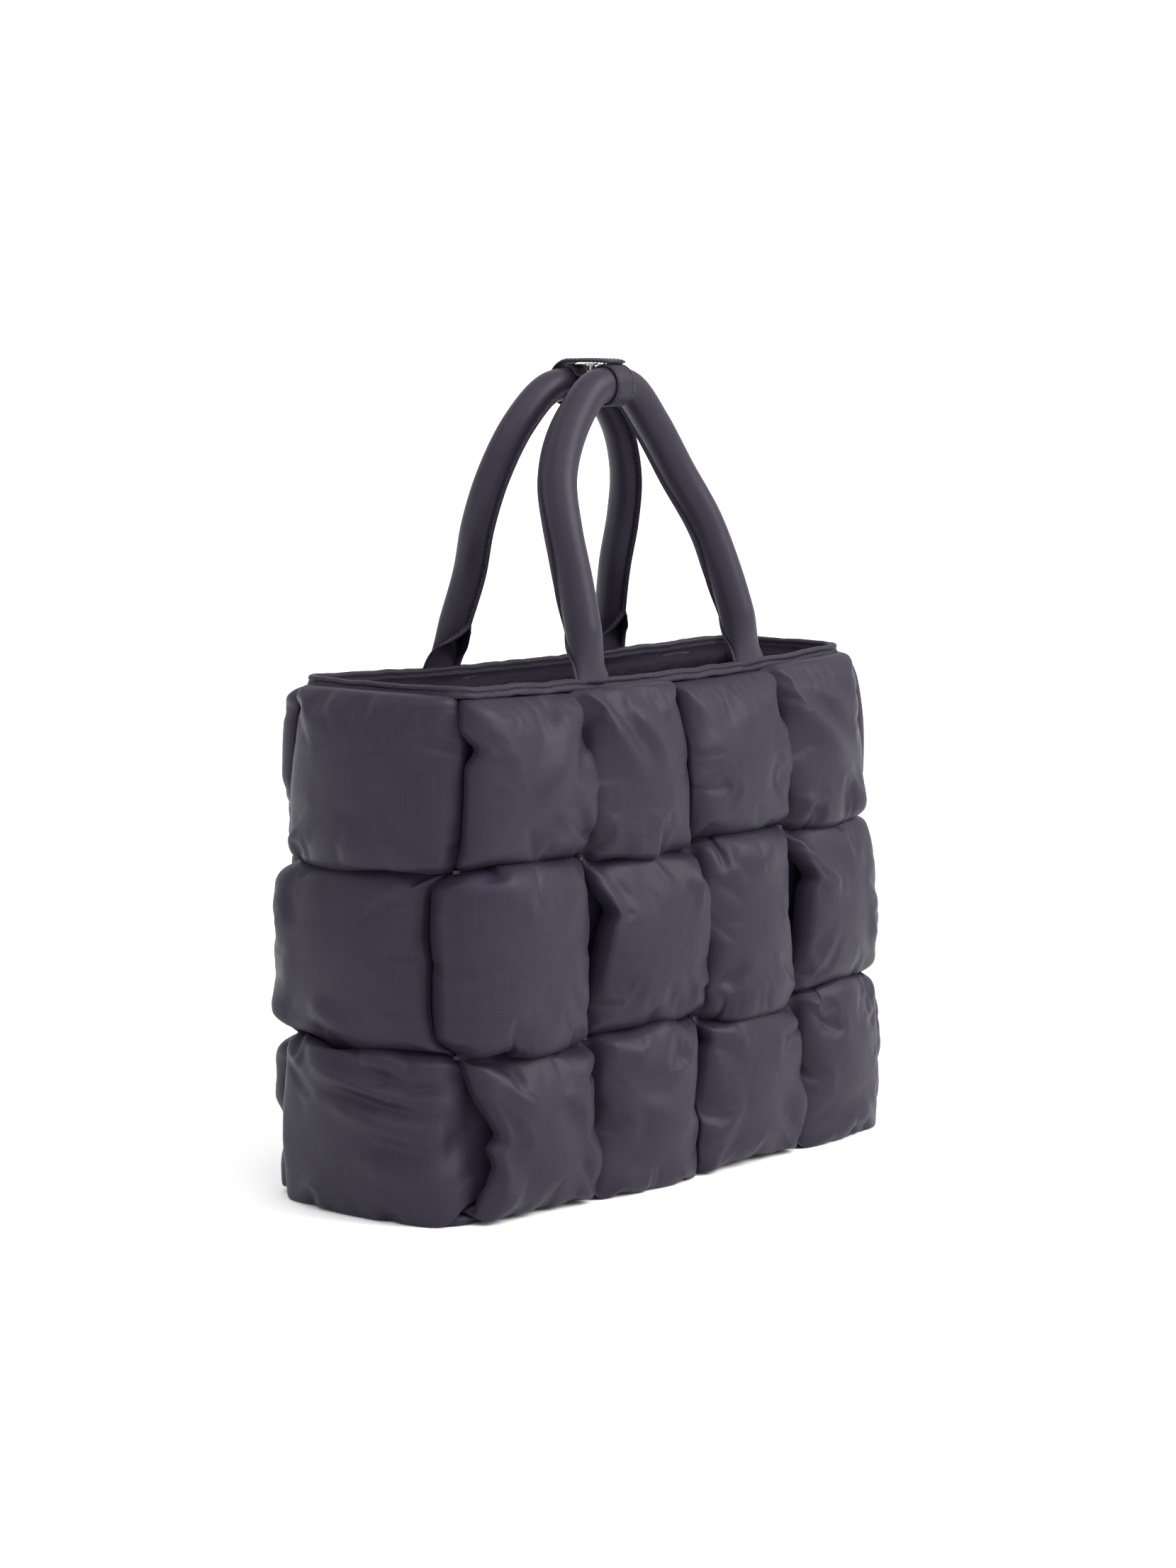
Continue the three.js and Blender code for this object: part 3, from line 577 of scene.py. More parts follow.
# %% Make a strip
def mark_seams(strip, spot):
    """Mark both sewn edges, so that subdivision keeps them fairly sharp."""
    crease = strip.edges.layers.float.new("crease_edge")
    for edge in strip.edges:
        rows = {vertex[spot] % 100 for vertex in edge.verts}
        if rows in ({0}, {TOP_SEGMENTS}):
            edge[crease] = SEAM_CREASE


def make_strip(name, squares, closed):
    stations = strip_stations(squares, closed)
    last = len(stations) - 1
    strip = bmesh.new()
    bmesh.ops.create_grid(strip, x_segments=last, y_segments=SECTION_SEGMENTS, size=0.5)
    pins = strip.verts.layers.float.new("pin")
    spot = strip.verts.layers.int.new("spot")
    spare = strip.verts.layers.float.new("spare")
    out = strip.verts.layers.float_vector.new("out")
    where = strip.verts.layers.float_vector.new("place")
    cloth_place = {}
    for vertex in strip.verts:
        i = round((vertex.co.x + 0.5) * last)
        j = round((vertex.co.y + 0.5) * SECTION_SEGMENTS)
        station = stations[i]
        on_top = j <= TOP_SEGMENTS
        across = j / TOP_SEGMENTS if on_top else (SECTION_SEGMENTS - j) / BOTTOM_SEGMENTS
        place, top, bottom = strip_heights(station, across)
        height = (top + bottom) / 2 if across in (0, 1) else top if on_top else bottom
        vertex.co = place.point + place.normal * height
        vertex[pins] = held_share(station, on_top, across, place)
        vertex[spot] = (i % last if closed else i) * 100 + j % SECTION_SEGMENTS
        vertex[out] = place.normal
        shown = place.kind == "wall" and station.square.is_over and on_top
        vertex[where] = (place.column % COLUMNS, min(place.row, ROWS - 0.001), shown)
        near = min(across, 1 - across, station.along, 1 - station.along)
        vertex[spare] = 1 - smoothstep(0.02, 0.34, near)
        cloth_place[vertex] = (station.cut, j * CUT_WIDTH / TOP_SEGMENTS)
    lay_out(strip, cloth_place)
    close_up(strip, WELD)
    mark_seams(strip, spot)
    piece = finish_mesh(name, strip)
    layouts[name] = [(station.square.is_over, station.along) for station in stations[:last + (not closed)]]
    return piece


layouts = {}  # for each strip, whether each station is over and how far along its square it is
strips = [make_strip(f"ring_{level}_puffer", ring_squares(row), True)
          for row, level in enumerate(("top", "middle", "bottom"))]
strips += [make_strip(f"cross_strip_{i + 1}_puffer", cross_squares(i), False) for i in range(LONG_COLUMNS)]
strips.append(make_strip("long_strip_puffer", long_squares(), False))
print("strip vertices:", {strip.name: len(strip.data.vertices) for strip in strips})

# %% [markdown]
# ## Inflate the strips
# The wadding presses the nylon outwards. A cloth simulation with air pressure does the same, and
# the cloth is given a little more area than its space, so that it buckles into soft wrinkles and
# puckers along the sewn edges. The hidden parts are pinned. Noise could give wrinkles as well, but
# only cloth that is pressed outwards gathers along its seams by itself.

# %% Cloth with pressure
SIM_FRAMES = 18
SPARE_CLOTH = 0.05  # how much longer the cut cloth is than its place, along the edges
SIM_CAP = 11 * MM


def add_cloth(strip):
    """Nylon on one strip: "pin" holds what is hidden, and "taut" keeps the middles from growing."""
    group = strip.vertex_groups.new(name="pin")
    for vertex, value in zip(strip.data.vertices, strip.data.attributes["pin"].data):
        group.add([vertex.index], value.value, "REPLACE")
    taut = strip.vertex_groups.new(name="taut")
    for vertex, value in zip(strip.data.vertices, strip.data.attributes["spare"].data):
        taut.add([vertex.index], 1 - value.value, "REPLACE")
    cloth = strip.modifiers.new("cloth", "CLOTH")
    settings = cloth.settings
    settings.quality = 6
    settings.mass = 0.15
    settings.tension_stiffness = 15
    settings.compression_stiffness = 15
    settings.shear_stiffness = 5
    settings.bending_stiffness = 0.4
    settings.air_damping = 2
    settings.vertex_group_mass = group.name
    settings.pin_stiffness = 1
    settings.vertex_group_shrink = taut.name
    settings.shrink_min = -SPARE_CLOTH
    settings.shrink_max = 0
    settings.use_pressure = True
    settings.uniform_pressure_force = 14
    settings.effector_weights.gravity = 0
    cloth.point_cache.frame_start = 1
    cloth.point_cache.frame_end = SIM_FRAMES


print("cloth:", SIM_FRAMES, "frames,", round(SPARE_CLOTH * 100), "percent spare along the edges")

# %% [markdown]
# All strips run in the same few frames. Then each move is kept within a cap and written back to
# its mesh, so that later steps work on plain vertices. The inner side of a strip may not move
# into the bag, or it would come through the lining.

# %% Run the cloth
def settle(strip, targets):
    """Move a strip's vertices to where the cloth took them, and return the longest move."""
    longest = 0.0
    outs = strip.data.attributes["out"].data
    spots = strip.data.attributes["spot"].data
    for vertex, target, out, spot in zip(strip.data.vertices, targets, outs, spots):
        step = target - vertex.co
        inwards = min(step.dot(out.vector), 0)
        if spot.value % 100 > TOP_SEGMENTS:
            step -= Vector(out.vector) * inwards
        if step.length > SIM_CAP:
            step *= SIM_CAP / step.length
        vertex.co += step
        vertex.co.z = max(vertex.co.z, FLOOR_GAP)
        longest = max(longest, step.length)
    return longest


for strip in strips:
    add_cloth(strip)
for step in range(1, SIM_FRAMES + 1):
    bpy.context.scene.frame_set(step)
depsgraph = bpy.context.evaluated_depsgraph_get()
moved = {s.name: [v.co.copy() for v in s.evaluated_get(depsgraph).data.vertices] for s in strips}
for strip in strips:
    strip.modifiers.remove(strip.modifiers["cloth"])
    print(strip.name, "moved by up to", round(settle(strip, moved[strip.name]) / MM, 1), "mm")
bpy.context.scene.frame_set(1)

# %% [markdown]
# ## Long folds
# Some folds belong to how this bag was woven and filled, so they are listed one by one. Each runs
# from one place in a square to another. A fold is a ridge with a shadow side: it rises on one side
# of its line and sinks on the other, and it fades at both ends.

# %% Folds by square
Fold = namedtuple("Fold", "square from_x from_y to_x to_y width_mm rise_mm")
FOLDS = [Fold(*row) for row in (
    ("wall_0_0", 0.32, 0.02, 0.30, 0.16, 4, 1.8),
    ("wall_0_0", 0.58, 0.02, 0.61, 0.14, 4, 1.6),
    ("wall_1_0", 0.78, 0.04, 0.36, 0.60, 9, 2.2),
    ("wall_1_0", 0.80, 0.62, 0.34, 0.94, 8, 1.3),
    ("wall_2_0", 0.10, 0.04, 0.48, 0.50, 7, -3.2),
    ("wall_2_0", 0.38, 0.04, 0.74, 0.42, 8, -2.8),
    ("wall_3_0", 0.45, 0.03, 0.38, 0.36, 8, 1.3),
    ("wall_3_0", 0.86, 0.08, 0.96, 0.34, 6, -1.4),
    ("wall_4_0", 0.02, 0.08, 0.62, 0.54, 7, -2.8),
    ("wall_4_0", 0.12, 0.04, 0.74, 0.30, 6, -1.6),
    ("wall_0_1", 0.34, 0.82, 0.62, 0.95, 6, 3.6),
    ("wall_0_1", 0.30, 0.05, 0.26, 0.50, 11, 1.0),
    ("wall_1_1", 0.98, 0.03, 0.78, 0.16, 6, 1.4),
    ("wall_1_1", 0.96, 0.46, 0.66, 0.43, 6, 1.3),
    ("wall_1_1", 0.94, 0.82, 0.68, 0.70, 6, -1.3),
    ("wall_2_1", 0.04, 0.03, 0.24, 0.34, 6, -2.6),
    ("wall_2_1", 0.46, 0.03, 0.52, 0.32, 8, 1.3),
    ("wall_2_1", 0.72, 0.03, 0.78, 0.24, 6, 1.2),
    ("wall_3_1", 0.04, 0.86, 0.22, 0.66, 6, 1.0),
    ("wall_4_1", 0.04, 0.04, 0.48, 0.36, 7, -2.6),
    ("wall_0_2", 0.34, 0.06, 0.99, 0.30, 5, -5.0),
    ("wall_0_2", 0.44, 0.27, 1.00, 0.47, 5, -4.2),
    ("wall_0_2", 0.60, 0.56, 1.00, 0.66, 5, -3.0),
    ("wall_1_2", 0.14, 0.10, 0.30, 0.46, 9, 1.3),
    ("wall_1_2", 0.60, 0.34, 0.92, 0.56, 6, 1.9),
    ("wall_1_2", 0.05, 0.60, 0.42, 0.86, 8, -2.2),
    ("wall_2_2", 0.28, 0.40, 0.96, 0.55, 7, -2.3),
    ("wall_2_2", 0.08, 0.78, 0.92, 0.86, 7, -2.2),
    ("wall_3_2", 0.10, 0.06, 0.34, 0.34, 8, 1.3),
    ("wall_4_2", 0.06, 0.86, 0.82, 0.74, 6, -2.0),
)]


def fold_height(column, row, x, y):
    """Height of all the folds at a place of a square, in metres."""
    height = 0.0
    here = Vector((x, y)) * ROW_HEIGHT
    for fold in FOLDS:
        if fold.square != f"wall_{column}_{row}":
            continue
        start = Vector((fold.from_x, fold.from_y)) * ROW_HEIGHT
        run = Vector((fold.to_x, fold.to_y)) * ROW_HEIGHT - start
        along = (here - start).dot(run) / run.length_squared
        beside = (here - start).cross(run) / run.length
        fade = smoothstep(-0.12, 0.3, along) * smoothstep(-0.12, 0.45, 1 - along)
        share = beside / (fold.width_mm * MM)
        height += fold.rise_mm * MM * fade * share * math.exp((1 - share * share) / 2)
    return height


def press_folds(strip):
    places = strip.data.attributes["place"].data
    outs = strip.data.attributes["out"].data
    for vertex, place, out in zip(strip.data.vertices, places, outs):
        column, row, on_top = place.vector
        if on_top > 0.5:
            square = math.floor(column), math.floor(row)
            rise = fold_height(*square, column - square[0], row - square[1])
            vertex.co += Vector(out.vector) * rise


for strip in strips:
    press_folds(strip)
print("folds:", len(FOLDS))

# %% [markdown]
# ## Lay the sewn edges on their neighbours
# After the simulation a sewn edge may have sunk into the flank that it lies on. A ray from outside
# finds the neighbour's surface under each edge vertex, and the edge zone is raised onto it.

# %% Raise the sewn edges
EDGE_ZONE = 0.3  # share of the width over which a lift fades
RAY_START = 60 * MM
LIFT_CAP = 14 * MM


def surface_tree(strip):
    return BVHTree.FromPolygons([v.co for v in strip.data.vertices],
                                [tuple(face.vertices) for face in strip.data.polygons])


def missing_height(vertex, outward, others):
    """How far a vertex lies below the neighbours' surface, plus the small gap that cloth keeps."""
    start = vertex + outward * RAY_START
    hits = [tree.ray_cast(start, -outward, 2 * RAY_START)[3] for tree in others]
    reached = [hit for hit in hits if hit is not None]
    return RAY_START - min(reached) + LAY if reached else 0.0


def raise_edges(strip, trees):
    """Lift both edge zones of a strip onto the neighbours, and return the greatest lift."""
    others = [tree for name, tree in trees.items() if name != strip.name]
    vertices = strip.data.vertices
    spots = {value.value: i for i, value in enumerate(strip.data.attributes["spot"].data)}
    outs = [Vector(value.vector) for value in strip.data.attributes["out"].data]
    layout = layouts[strip.name]
    lifts = []
    for i, (is_over, along) in enumerate(layout):
        pair = [0.0, 0.0]
        weight = smoothstep(0.02, 0.1, min(along, 1 - along)) if is_over else 0
        for side, j in enumerate((0, TOP_SEGMENTS)):
            k = spots.get(i * 100 + j)
            if weight and k is not None:
                pair[side] = max(0.0, missing_height(vertices[k].co, outs[k], others)) * weight
        lifts.append(pair)
    count = len(layout)
    for code, k in spots.items():
        i, j = divmod(code, 100)
        if not layout[i][0]:
            continue
        across = j / TOP_SEGMENTS if j <= TOP_SEGMENTS else (SECTION_SEGMENTS - j) / BOTTOM_SEGMENTS
        near = [lifts[max(i - 1, 0)], lifts[i], lifts[min(i + 1, count - 1)]]
        low, high = (sum(pair[side] for pair in near) / 3 for side in (0, 1))
        from_low = low * (1 - smoothstep(0, EDGE_ZONE, across))
        lift = from_low + high * (1 - smoothstep(0, EDGE_ZONE, 1 - across))
        vertices[k].co += outs[k] * min(lift, LIFT_CAP)
        vertices[k].co.z = max(vertices[k].co.z, FLOOR_GAP)
    return max(max(pair) for pair in lifts)


trees = {strip.name: surface_tree(strip) for strip in strips}
for strip in strips:
    print(strip.name, "edges lifted by up to", round(raise_edges(strip, trees) / MM, 1), "mm")

# %% [markdown]
# ## Finish the strips
# One level of subdivision rounds the facets, and the crease marked on the sewn edges keeps those
# fairly sharp. Each strip then stands in for its solid, as padded cloth.

# %% Finish the strips
NODE_OF = {strip.name: strip.name.removesuffix("_puffer") for strip in strips}
for strip in strips:
    rounder = strip.modifiers.new("rounder", "SUBSURF")
    rounder.levels = rounder.render_levels = 1
    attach(strip, "root")
    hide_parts(NODE_OF[strip.name])
print("padded pieces:", len(strips))

# %% [markdown]
# ## The lining
# A thin satin bag hangs inside the weave. It is one sheet of cloth sewn into a bag, so it is a
# grid that runs round the walls and down to the base, with crinkles pushed towards the inside.
# It could be simulated as well, but it has to hang clear of the puffs all the way down, and that
# is sure only when its distance from the core surface is set.

# %% Lining
LINING_CLEARANCE = 2.4 * MM
LINING_FLOOR = 20.5 * MM
FLOOR_TURN = 0.16  # rows above the foot where the lining leaves the wall
SOFT_FOLD, SHARP_FOLD, FINE_FOLD = 2.2 * MM, 1.6 * MM, 0.6 * MM
WALL_LEVELS, FLOOR_LEVELS = 46, 10
LINING_ROUND = COLUMNS * 20
LINING_THICKNESS = 0.4 * MM
BINDING_GRIP = 3.4 * MM  # lining to core surface where the rim binding holds it
TUCK_SPEED = 2.8  # how soon below the binding the lining hangs clear of the puffs


def crinkle(column, row):
    """Depth of the lining's folds at a place, in metres: long soft ones and short sharp ones."""
    round_bag, down = column * ROW_HEIGHT, row * ROW_HEIGHT
    soft = noise.noise(Vector((round_bag / 0.035, down / 0.11, 3)))
    sharp = 1 - abs(noise.noise(Vector((round_bag / 0.018 + down / 0.03, down / 0.04, 9))))
    fine = 1 - abs(noise.noise(Vector((round_bag / 0.008, down / 0.012, 21))))
    return SOFT_FOLD * (0.5 + 0.5 * soft) + SHARP_FOLD * sharp**3 + FINE_FOLD * fine**2


def lining_place(column, down):
    """A point of the lining: down counts 0 to 1 along the walls and 1 to 2 across its floor."""
    row = lerp(EDGE / 2, ROWS - FLOOR_TURN, min(down, 1))
    point, normal = wall_core(column, row)
    tuck = clamp(TUCK_SPEED * pillow(min(row, 0.5)))
    inwards = lerp(BINDING_GRIP, INSIDE_DEPTH + LINING_CLEARANCE, tuck)
    fold = crinkle(column, row) * tuck
    point -= normal * (inwards + fold)
    if down > 1:
        half = BASE_LENGTH / 2 - BASE_WIDTH / 2
        spine = Vector((clamp(point.x, -half, half), 0, point.z))
        point = point.lerp(spine, down - 1)
        point.z = lerp(point.z, LINING_FLOOR + fold / 2, smoothstep(1, 1.3, down))
    return point


def make_lining():
    cloth = bmesh.new()
    levels = WALL_LEVELS + FLOOR_LEVELS
    bmesh.ops.create_grid(cloth, x_segments=LINING_ROUND, y_segments=levels, size=0.5)
    spots = {}
    for vertex in cloth.verts:
        column = (vertex.co.x + 0.5) * COLUMNS
        level = (0.5 - vertex.co.y) * levels
        down = level / WALL_LEVELS if level <= WALL_LEVELS else 1 + (level - WALL_LEVELS) / FLOOR_LEVELS
        spots[vertex] = (column * ROW_HEIGHT, level * 6 * MM)
        vertex.co = lining_place(column, down)
    lay_out(cloth, spots)
    bmesh.ops.remove_doubles(cloth, verts=cloth.verts, dist=WELD)
    bmesh.ops.recalc_face_normals(cloth, faces=cloth.faces)
    low = min(cloth.faces, key=lambda face: face.calc_center_median().z)
    if low.normal.z < 0:
        bmesh.ops.reverse_faces(cloth, faces=cloth.faces)
    return finish_mesh("lining_satin", cloth)


lining = make_lining()
wall = lining.modifiers.new("cloth_thickness", "SOLIDIFY")
wall.thickness = LINING_THICKNESS
wall.offset = 1
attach(lining, "root")
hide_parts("lining")

# %% [markdown]
# ## Sweeping a section
# Binding, handles and keeper are all made in one way. A section is drawn at every station along a
# path, and a grid is wrapped through the stations. A curve with a bevel would be shorter, but its
# section can't change on the way, and a handle turns from a tube into a flat tab.

# %% Sweep helper
CLOTH_ROUND = 60 * MM  # cloth that a section takes once round
CLOTH_STEP = 3 * MM  # cloth from one station to the next
FINE_WELD = 0.02 * MM


def wrapped_grid(stations, section, steps, cloth_step, closed=False):
    """A grid through stations: section(station, share) gives the point at a share round it."""
    work = bmesh.new()
    last = len(stations) if closed else len(stations) - 1
    bmesh.ops.create_grid(work, x_segments=last, y_segments=steps, size=0.5)
    shares = {v: (round((v.co.x + 0.5) * last), v.co.y + 0.5) for v in work.verts}
    for vertex, (i, share) in shares.items():
        vertex.co = section(stations[i % len(stations)], share)
    lay_out(work, {v: (i * cloth_step, share * CLOTH_ROUND) for v, (i, share) in shares.items()})
    return work


def sweep(name, stations, section, steps, closed=False):
    """A closed piece wrapped through stations."""
    work = wrapped_grid(stations, section, steps, CLOTH_STEP, closed)
    close_up(work, FINE_WELD)
    return finish_mesh(name, work)


print("cloth taken round a section, mm:", round(CLOTH_ROUND / MM))

# %% [markdown]
# ## The rim binding
# A narrow folded strip takes in the top edges of puffer and lining. Its section is a rolled lip
# at the top, a groove where the stitches pull it in, and a thin band below. It wanders a little
# because it is sewn onto soft wadding.

# %% Rim binding
BINDING_MIDDLE = -1.0 * MM  # its middle sits a little inside the core surface
BINDING_STATIONS = COLUMNS * 30
BINDING_SECTION = [  # out from the middle and up from the foot, in mm, once round
    (2.6, 0.0), (2.9, 1.4), (2.5, 2.8), (1.5, 3.4), (2.3, 4.4), (2.5, 5.4), (1.8, 6.5), (0.6, 7.0),
    (-0.8, 6.9), (-2.0, 6.2), (-2.6, 5.0), (-2.0, 3.8), (-2.4, 2.4), (-2.6, 0.6), (-1.0, 0.0), (1.2, 0.0)]
GROOVE = Vector((1.75, 3.4))


def round_noise(column, size, seed):
    angle = column / COLUMNS * 2 * math.pi
    return noise.noise(Vector((math.cos(angle) * size, math.sin(angle) * size, seed)))


def binding_centre(column):
    point, normal = wall_core(column, EDGE)
    side = 1.0 * MM * round_noise(column, 6, 4) + 0.7 * MM * round_noise(column, 19, 8)
    rise = 0.9 * MM * round_noise(column, 8, 15) + 0.5 * MM * round_noise(column, 24, 2)
    return point + normal * (BINDING_MIDDLE + side) + Vector((0, 0, rise)), normal


def binding_section(column, share):
    centre, normal = binding_centre(column)
    position = share * len(BINDING_SECTION)
    index = int(position)
    here = Vector(BINDING_SECTION[index % len(BINDING_SECTION)])
    there = Vector(BINDING_SECTION[(index + 1) % len(BINDING_SECTION)])
    out, up = here.lerp(there, position - index) * MM
    return centre + normal * out + Vector((0, 0, up))


binding = sweep("rim_binding_folded", [i * COLUMNS / BINDING_STATIONS for i in range(BINDING_STATIONS)],
                binding_section, len(BINDING_SECTION), closed=True)
rounder = binding.modifiers.new("rounder", "SUBSURF")
rounder.levels = rounder.render_levels = 1
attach(binding, "root")
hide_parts("rim_binding")
print("binding stations:", BINDING_STATIONS)

# %% [markdown]
# ## The handles
# Each handle is a strip of nylon rolled round a padded core and sewn into a fin along the side
# that faces the other handle. Near the rim the fin opens, the tube unrolls into a flat tab, and
# the tab goes down into the binding. Both handles follow one table of shares, so a change of
# their spacing or rise carries the whole route along.

# %% Handle sizes and route
HANDLE_RADIUS = 9.5 * MM
HANDLE_SPACING = 150 * MM
HANDLE_SHIFT = 6 * MM
HANDLE_DRIFT = 8 * MM
HANDLE_RISE = 161 * MM
HANDLE_TOP_GAP = 11 * MM
TAB_HALF_WIDTH = 15 * MM
TAB_RISE = 2.0 * MM
TAB_HEIGHT = 33 * MM
FIN = 3.0 * MM
FIN_SHARE = 0.1  # share of each half of the rolled strip that is fin
TUBE_OFFSET = HANDLE_RADIUS + HANDLE_TOP_GAP / 2
TOP_HEIGHT = RIM_HEIGHT + HANDLE_RISE
ROUTE = {  # up as a share of the rise; front and back out as shares of half the spacing; lean; drift
    "up": (0.0, 0.19, 0.35, 0.52, 0.69, 0.86, 0.985, 1.0),
    "front": (1.0, 0.97, 0.93, 0.87, 0.73, 0.5, 0.22, 0.0),
    "back": (1.0, 0.92, 0.87, 0.87, 0.8, 0.6, 0.28, 0.0),
    "lean": (0.0, 0.19, 0.37, 0.58, 0.81, 0.94, 0.99, 1.0),
    "drift": (0.0, 0.05, 0.2, 0.55, 0.95, 0.95, 0.8, 0.7),
}
TOP_X = HANDLE_SHIFT - ROUTE["drift"][-1] * HANDLE_DRIFT
HANDLE_STATIONS = 200
print("handle tube and rise, mm:", round(2 * HANDLE_RADIUS / MM), round(HANDLE_RISE / MM))

# %% [markdown]
# A handle starts and ends in the middle of the binding, so its feet are looked up on the wall's
# own curve. The line between is a smooth curve through the table's places, walked in even steps,
# because uneven ones would bunch the stitches up.

# %% Feet and smooth route
FINE_STEPS = 40  # points drawn between two places of a route
HALVINGS = 40


def column_at(x, first):
    """Column of a long wall at which its rim is at x, found by halving."""
    low, high = first, first + LONG_COLUMNS
    for _ in range(HALVINGS):
        middle = (low + high) / 2
        if (wall_core(middle, EDGE)[0].x < x) == (first == FRONT):
            low = middle
        else:
            high = middle
    return (low + high) / 2


def handle_feet(first):
    feet = []
    for side in (-1, 1):
        column = column_at(HANDLE_SHIFT + side * HANDLE_SPACING / 2, first)
        point, normal = wall_core(column, EDGE)
        feet.append((point + normal * BINDING_MIDDLE, normal))
    return feet


def smooth_route(points, steps):
    """Even steps along a smooth curve through the points, and the length of the curve."""
    ends = [2 * points[0] - points[1], *points, 2 * points[-1] - points[-2]]
    fine = []
    for p0, p1, p2, p3 in zip(ends, ends[1:], ends[2:], ends[3:]):
        t1 = math.sqrt((p1 - p0).length)
        t2 = t1 + math.sqrt((p2 - p1).length)
        t3 = t2 + math.sqrt((p3 - p2).length)
        for i in range(FINE_STEPS):
            t = lerp(t1, t2, i / FINE_STEPS)
            a1 = p0.lerp(p1, t / t1)
            a2 = p1.lerp(p2, (t - t1) / (t2 - t1))
            a3 = p2.lerp(p3, (t - t2) / (t3 - t2))
            b1 = a1.lerp(a2, t / t2)
            b2 = a2.lerp(a3, (t - t1) / (t3 - t1))
            fine.append(b1.lerp(b2, (t - t1) / (t2 - t1)))
    fine.append(points[-1].copy())
    walked = [0.0]
    for before, after in zip(fine, fine[1:]):
        walked.append(walked[-1] + (after - before).length)
    even, k = [], 0
    for i in range(steps + 1):
        target = walked[-1] * i / steps
        while k < len(walked) - 2 and walked[k + 1] < target:
            k += 1
        span = walked[k + 1] - walked[k]
        even.append(fine[k].lerp(fine[k + 1], (target - walked[k]) / span))
    return even, walked[-1]


print("handle feet at columns:", [round(column_at(HANDLE_SHIFT, first), 2) for first in (FRONT, BACK)])

# %% [markdown]
# Each station knows where the tube's middle is, which way it runs, which way is wide and thick,
# and how far it has flattened into the tab. The front handle is twisted between its feet and its
# top, so that its fin comes round to the side. The back handle hardly is.

# %% Stations along a handle
FIN_TURN = {"front": math.radians(76), "back": math.radians(8)}
TURN_FROM, TURN_TO = 0.8 * TAB_HEIGHT, 2.6 * TAB_HEIGHT  # height in which the twist grows
FLATTENING = 0.9
HandleStation = namedtuple("HandleStation", "centre along wide thick flat")


def handle_stations(which, first):
    """All stations of one handle, from its left foot over the top to its right foot."""
    feet = handle_feet(first)
    side = 1 if which == "back" else -1
    summit = Vector((TOP_X, side * TUBE_OFFSET, TOP_HEIGHT))
    tops = [foot + Vector((0, 0, BAND_HEIGHT * 0.5)) for foot, _ in feet]

    def leg(foot):
        rows = zip(ROUTE["up"], ROUTE[which], ROUTE["lean"], ROUTE["drift"])
        return [Vector((lerp(HANDLE_SHIFT, foot.x, out) - drift * HANDLE_DRIFT,
                        lerp(foot.y, summit.y, lean), lerp(foot.z, summit.z, up)))
                for up, out, lean, drift in rows]

    line, length = smooth_route(leg(tops[0]) + leg(tops[1])[::-1][1:], HANDLE_STATIONS)
    outward = (tops[1] - tops[0]).cross(summit - tops[0]).normalized()
    if outward.y * side < 0:
        outward = -outward
    stations = []
    for i, centre in enumerate(line):
        along = (line[min(i + 1, HANDLE_STATIONS)] - line[max(i - 1, 0)]).normalized()
        height = min(i, HANDLE_STATIONS - i) / HANDLE_STATIONS * length
        flat = 1 - smoothstep(0, TAB_HEIGHT, height) ** FLATTENING
        thick = outward.lerp(feet[0 if i < HANDLE_STATIONS / 2 else 1][1], flat)
        thick = (thick - along * thick.dot(along)).normalized()
        way = math.cos(math.pi * i / HANDLE_STATIONS)
        turn = FIN_TURN[which] * way * smoothstep(TURN_FROM, TURN_TO, height)
        thick = Matrix.Rotation(turn, 3, along) @ thick
        stations.append(HandleStation(centre, along, along.cross(thick) * -side, thick, flat))
    return stations


front_stations = handle_stations("front", FRONT)
back_stations = handle_stations("back", BACK)
print("handle stations:", len(front_stations), len(back_stations))

# %% [markdown]
# The section is one wall of rolled nylon, bent round from edge to edge, and its two edges stand
# out side by side as the fin. Flattened, the same wall lies almost open. The wall gets its
# thickness inwards, so the outside keeps the size of the tube.

# %% Rolled handles
HANDLE_WALL = 1.0 * MM
HANDLE_STEPS = 40
HANDLE_CLOTH_STEP = 2.3 * MM
FIN_GAP = 0.55 * MM  # from the middle of the seam to each leaf of the fin


def handle_section(station, share):
    """One wall of the rolled strip: an arc from edge to edge, with a fin at both edges."""
    centre, _, wide, thick, flat = station
    reach = lerp(math.pi, math.pi / 2, flat**0.6)
    half_width = lerp(HANDLE_RADIUS, TAB_HALF_WIDTH - FIN, flat)
    depth = lerp(HANDLE_RADIUS, TAB_RISE, flat)
    s = clamp(2 * share - 1, -1, 1) / (1 - FIN_SHARE)
    angle = reach * clamp(s, -1, 1)
    point = centre + wide * half_width * math.sin(angle) + thick * depth * math.cos(angle)
    beyond = abs(s) - 1
    if beyond > 0:
        fin = (beyond / (1 / (1 - FIN_SHARE) - 1)) * FIN
        sign = math.copysign(1, s)
        along_fin = (-thick).lerp(wide * sign, smoothstep(0.05, 0.7, flat)).normalized()
        point += along_fin * fin + wide * sign * FIN_GAP * (1 - flat)
    return point


def make_handle(which, stations):
    """One handle as an open wall of cloth, turned so that its outside faces out."""
    work = wrapped_grid(stations, handle_section, HANDLE_STEPS, HANDLE_CLOTH_STEP)
    middle = stations[HANDLE_STATIONS // 2]
    face = min(work.faces, key=lambda f: (f.calc_center_median() - middle.centre - middle.thick).length)
    if face.normal.dot(middle.thick) < 0:
        bmesh.ops.reverse_faces(work, faces=work.faces)
    handle = finish_mesh(f"handle_{which}_rolled", work)
    wall = handle.modifiers.new("cloth_thickness", "SOLIDIFY")
    wall.thickness = HANDLE_WALL
    wall.offset = -1
    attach(handle, "root")
    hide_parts(f"handle_{which}")
    return handle


handles = [make_handle("front", front_stations), make_handle("back", back_stations)]
print("handle faces:", [len(handle.data.polygons) for handle in handles])

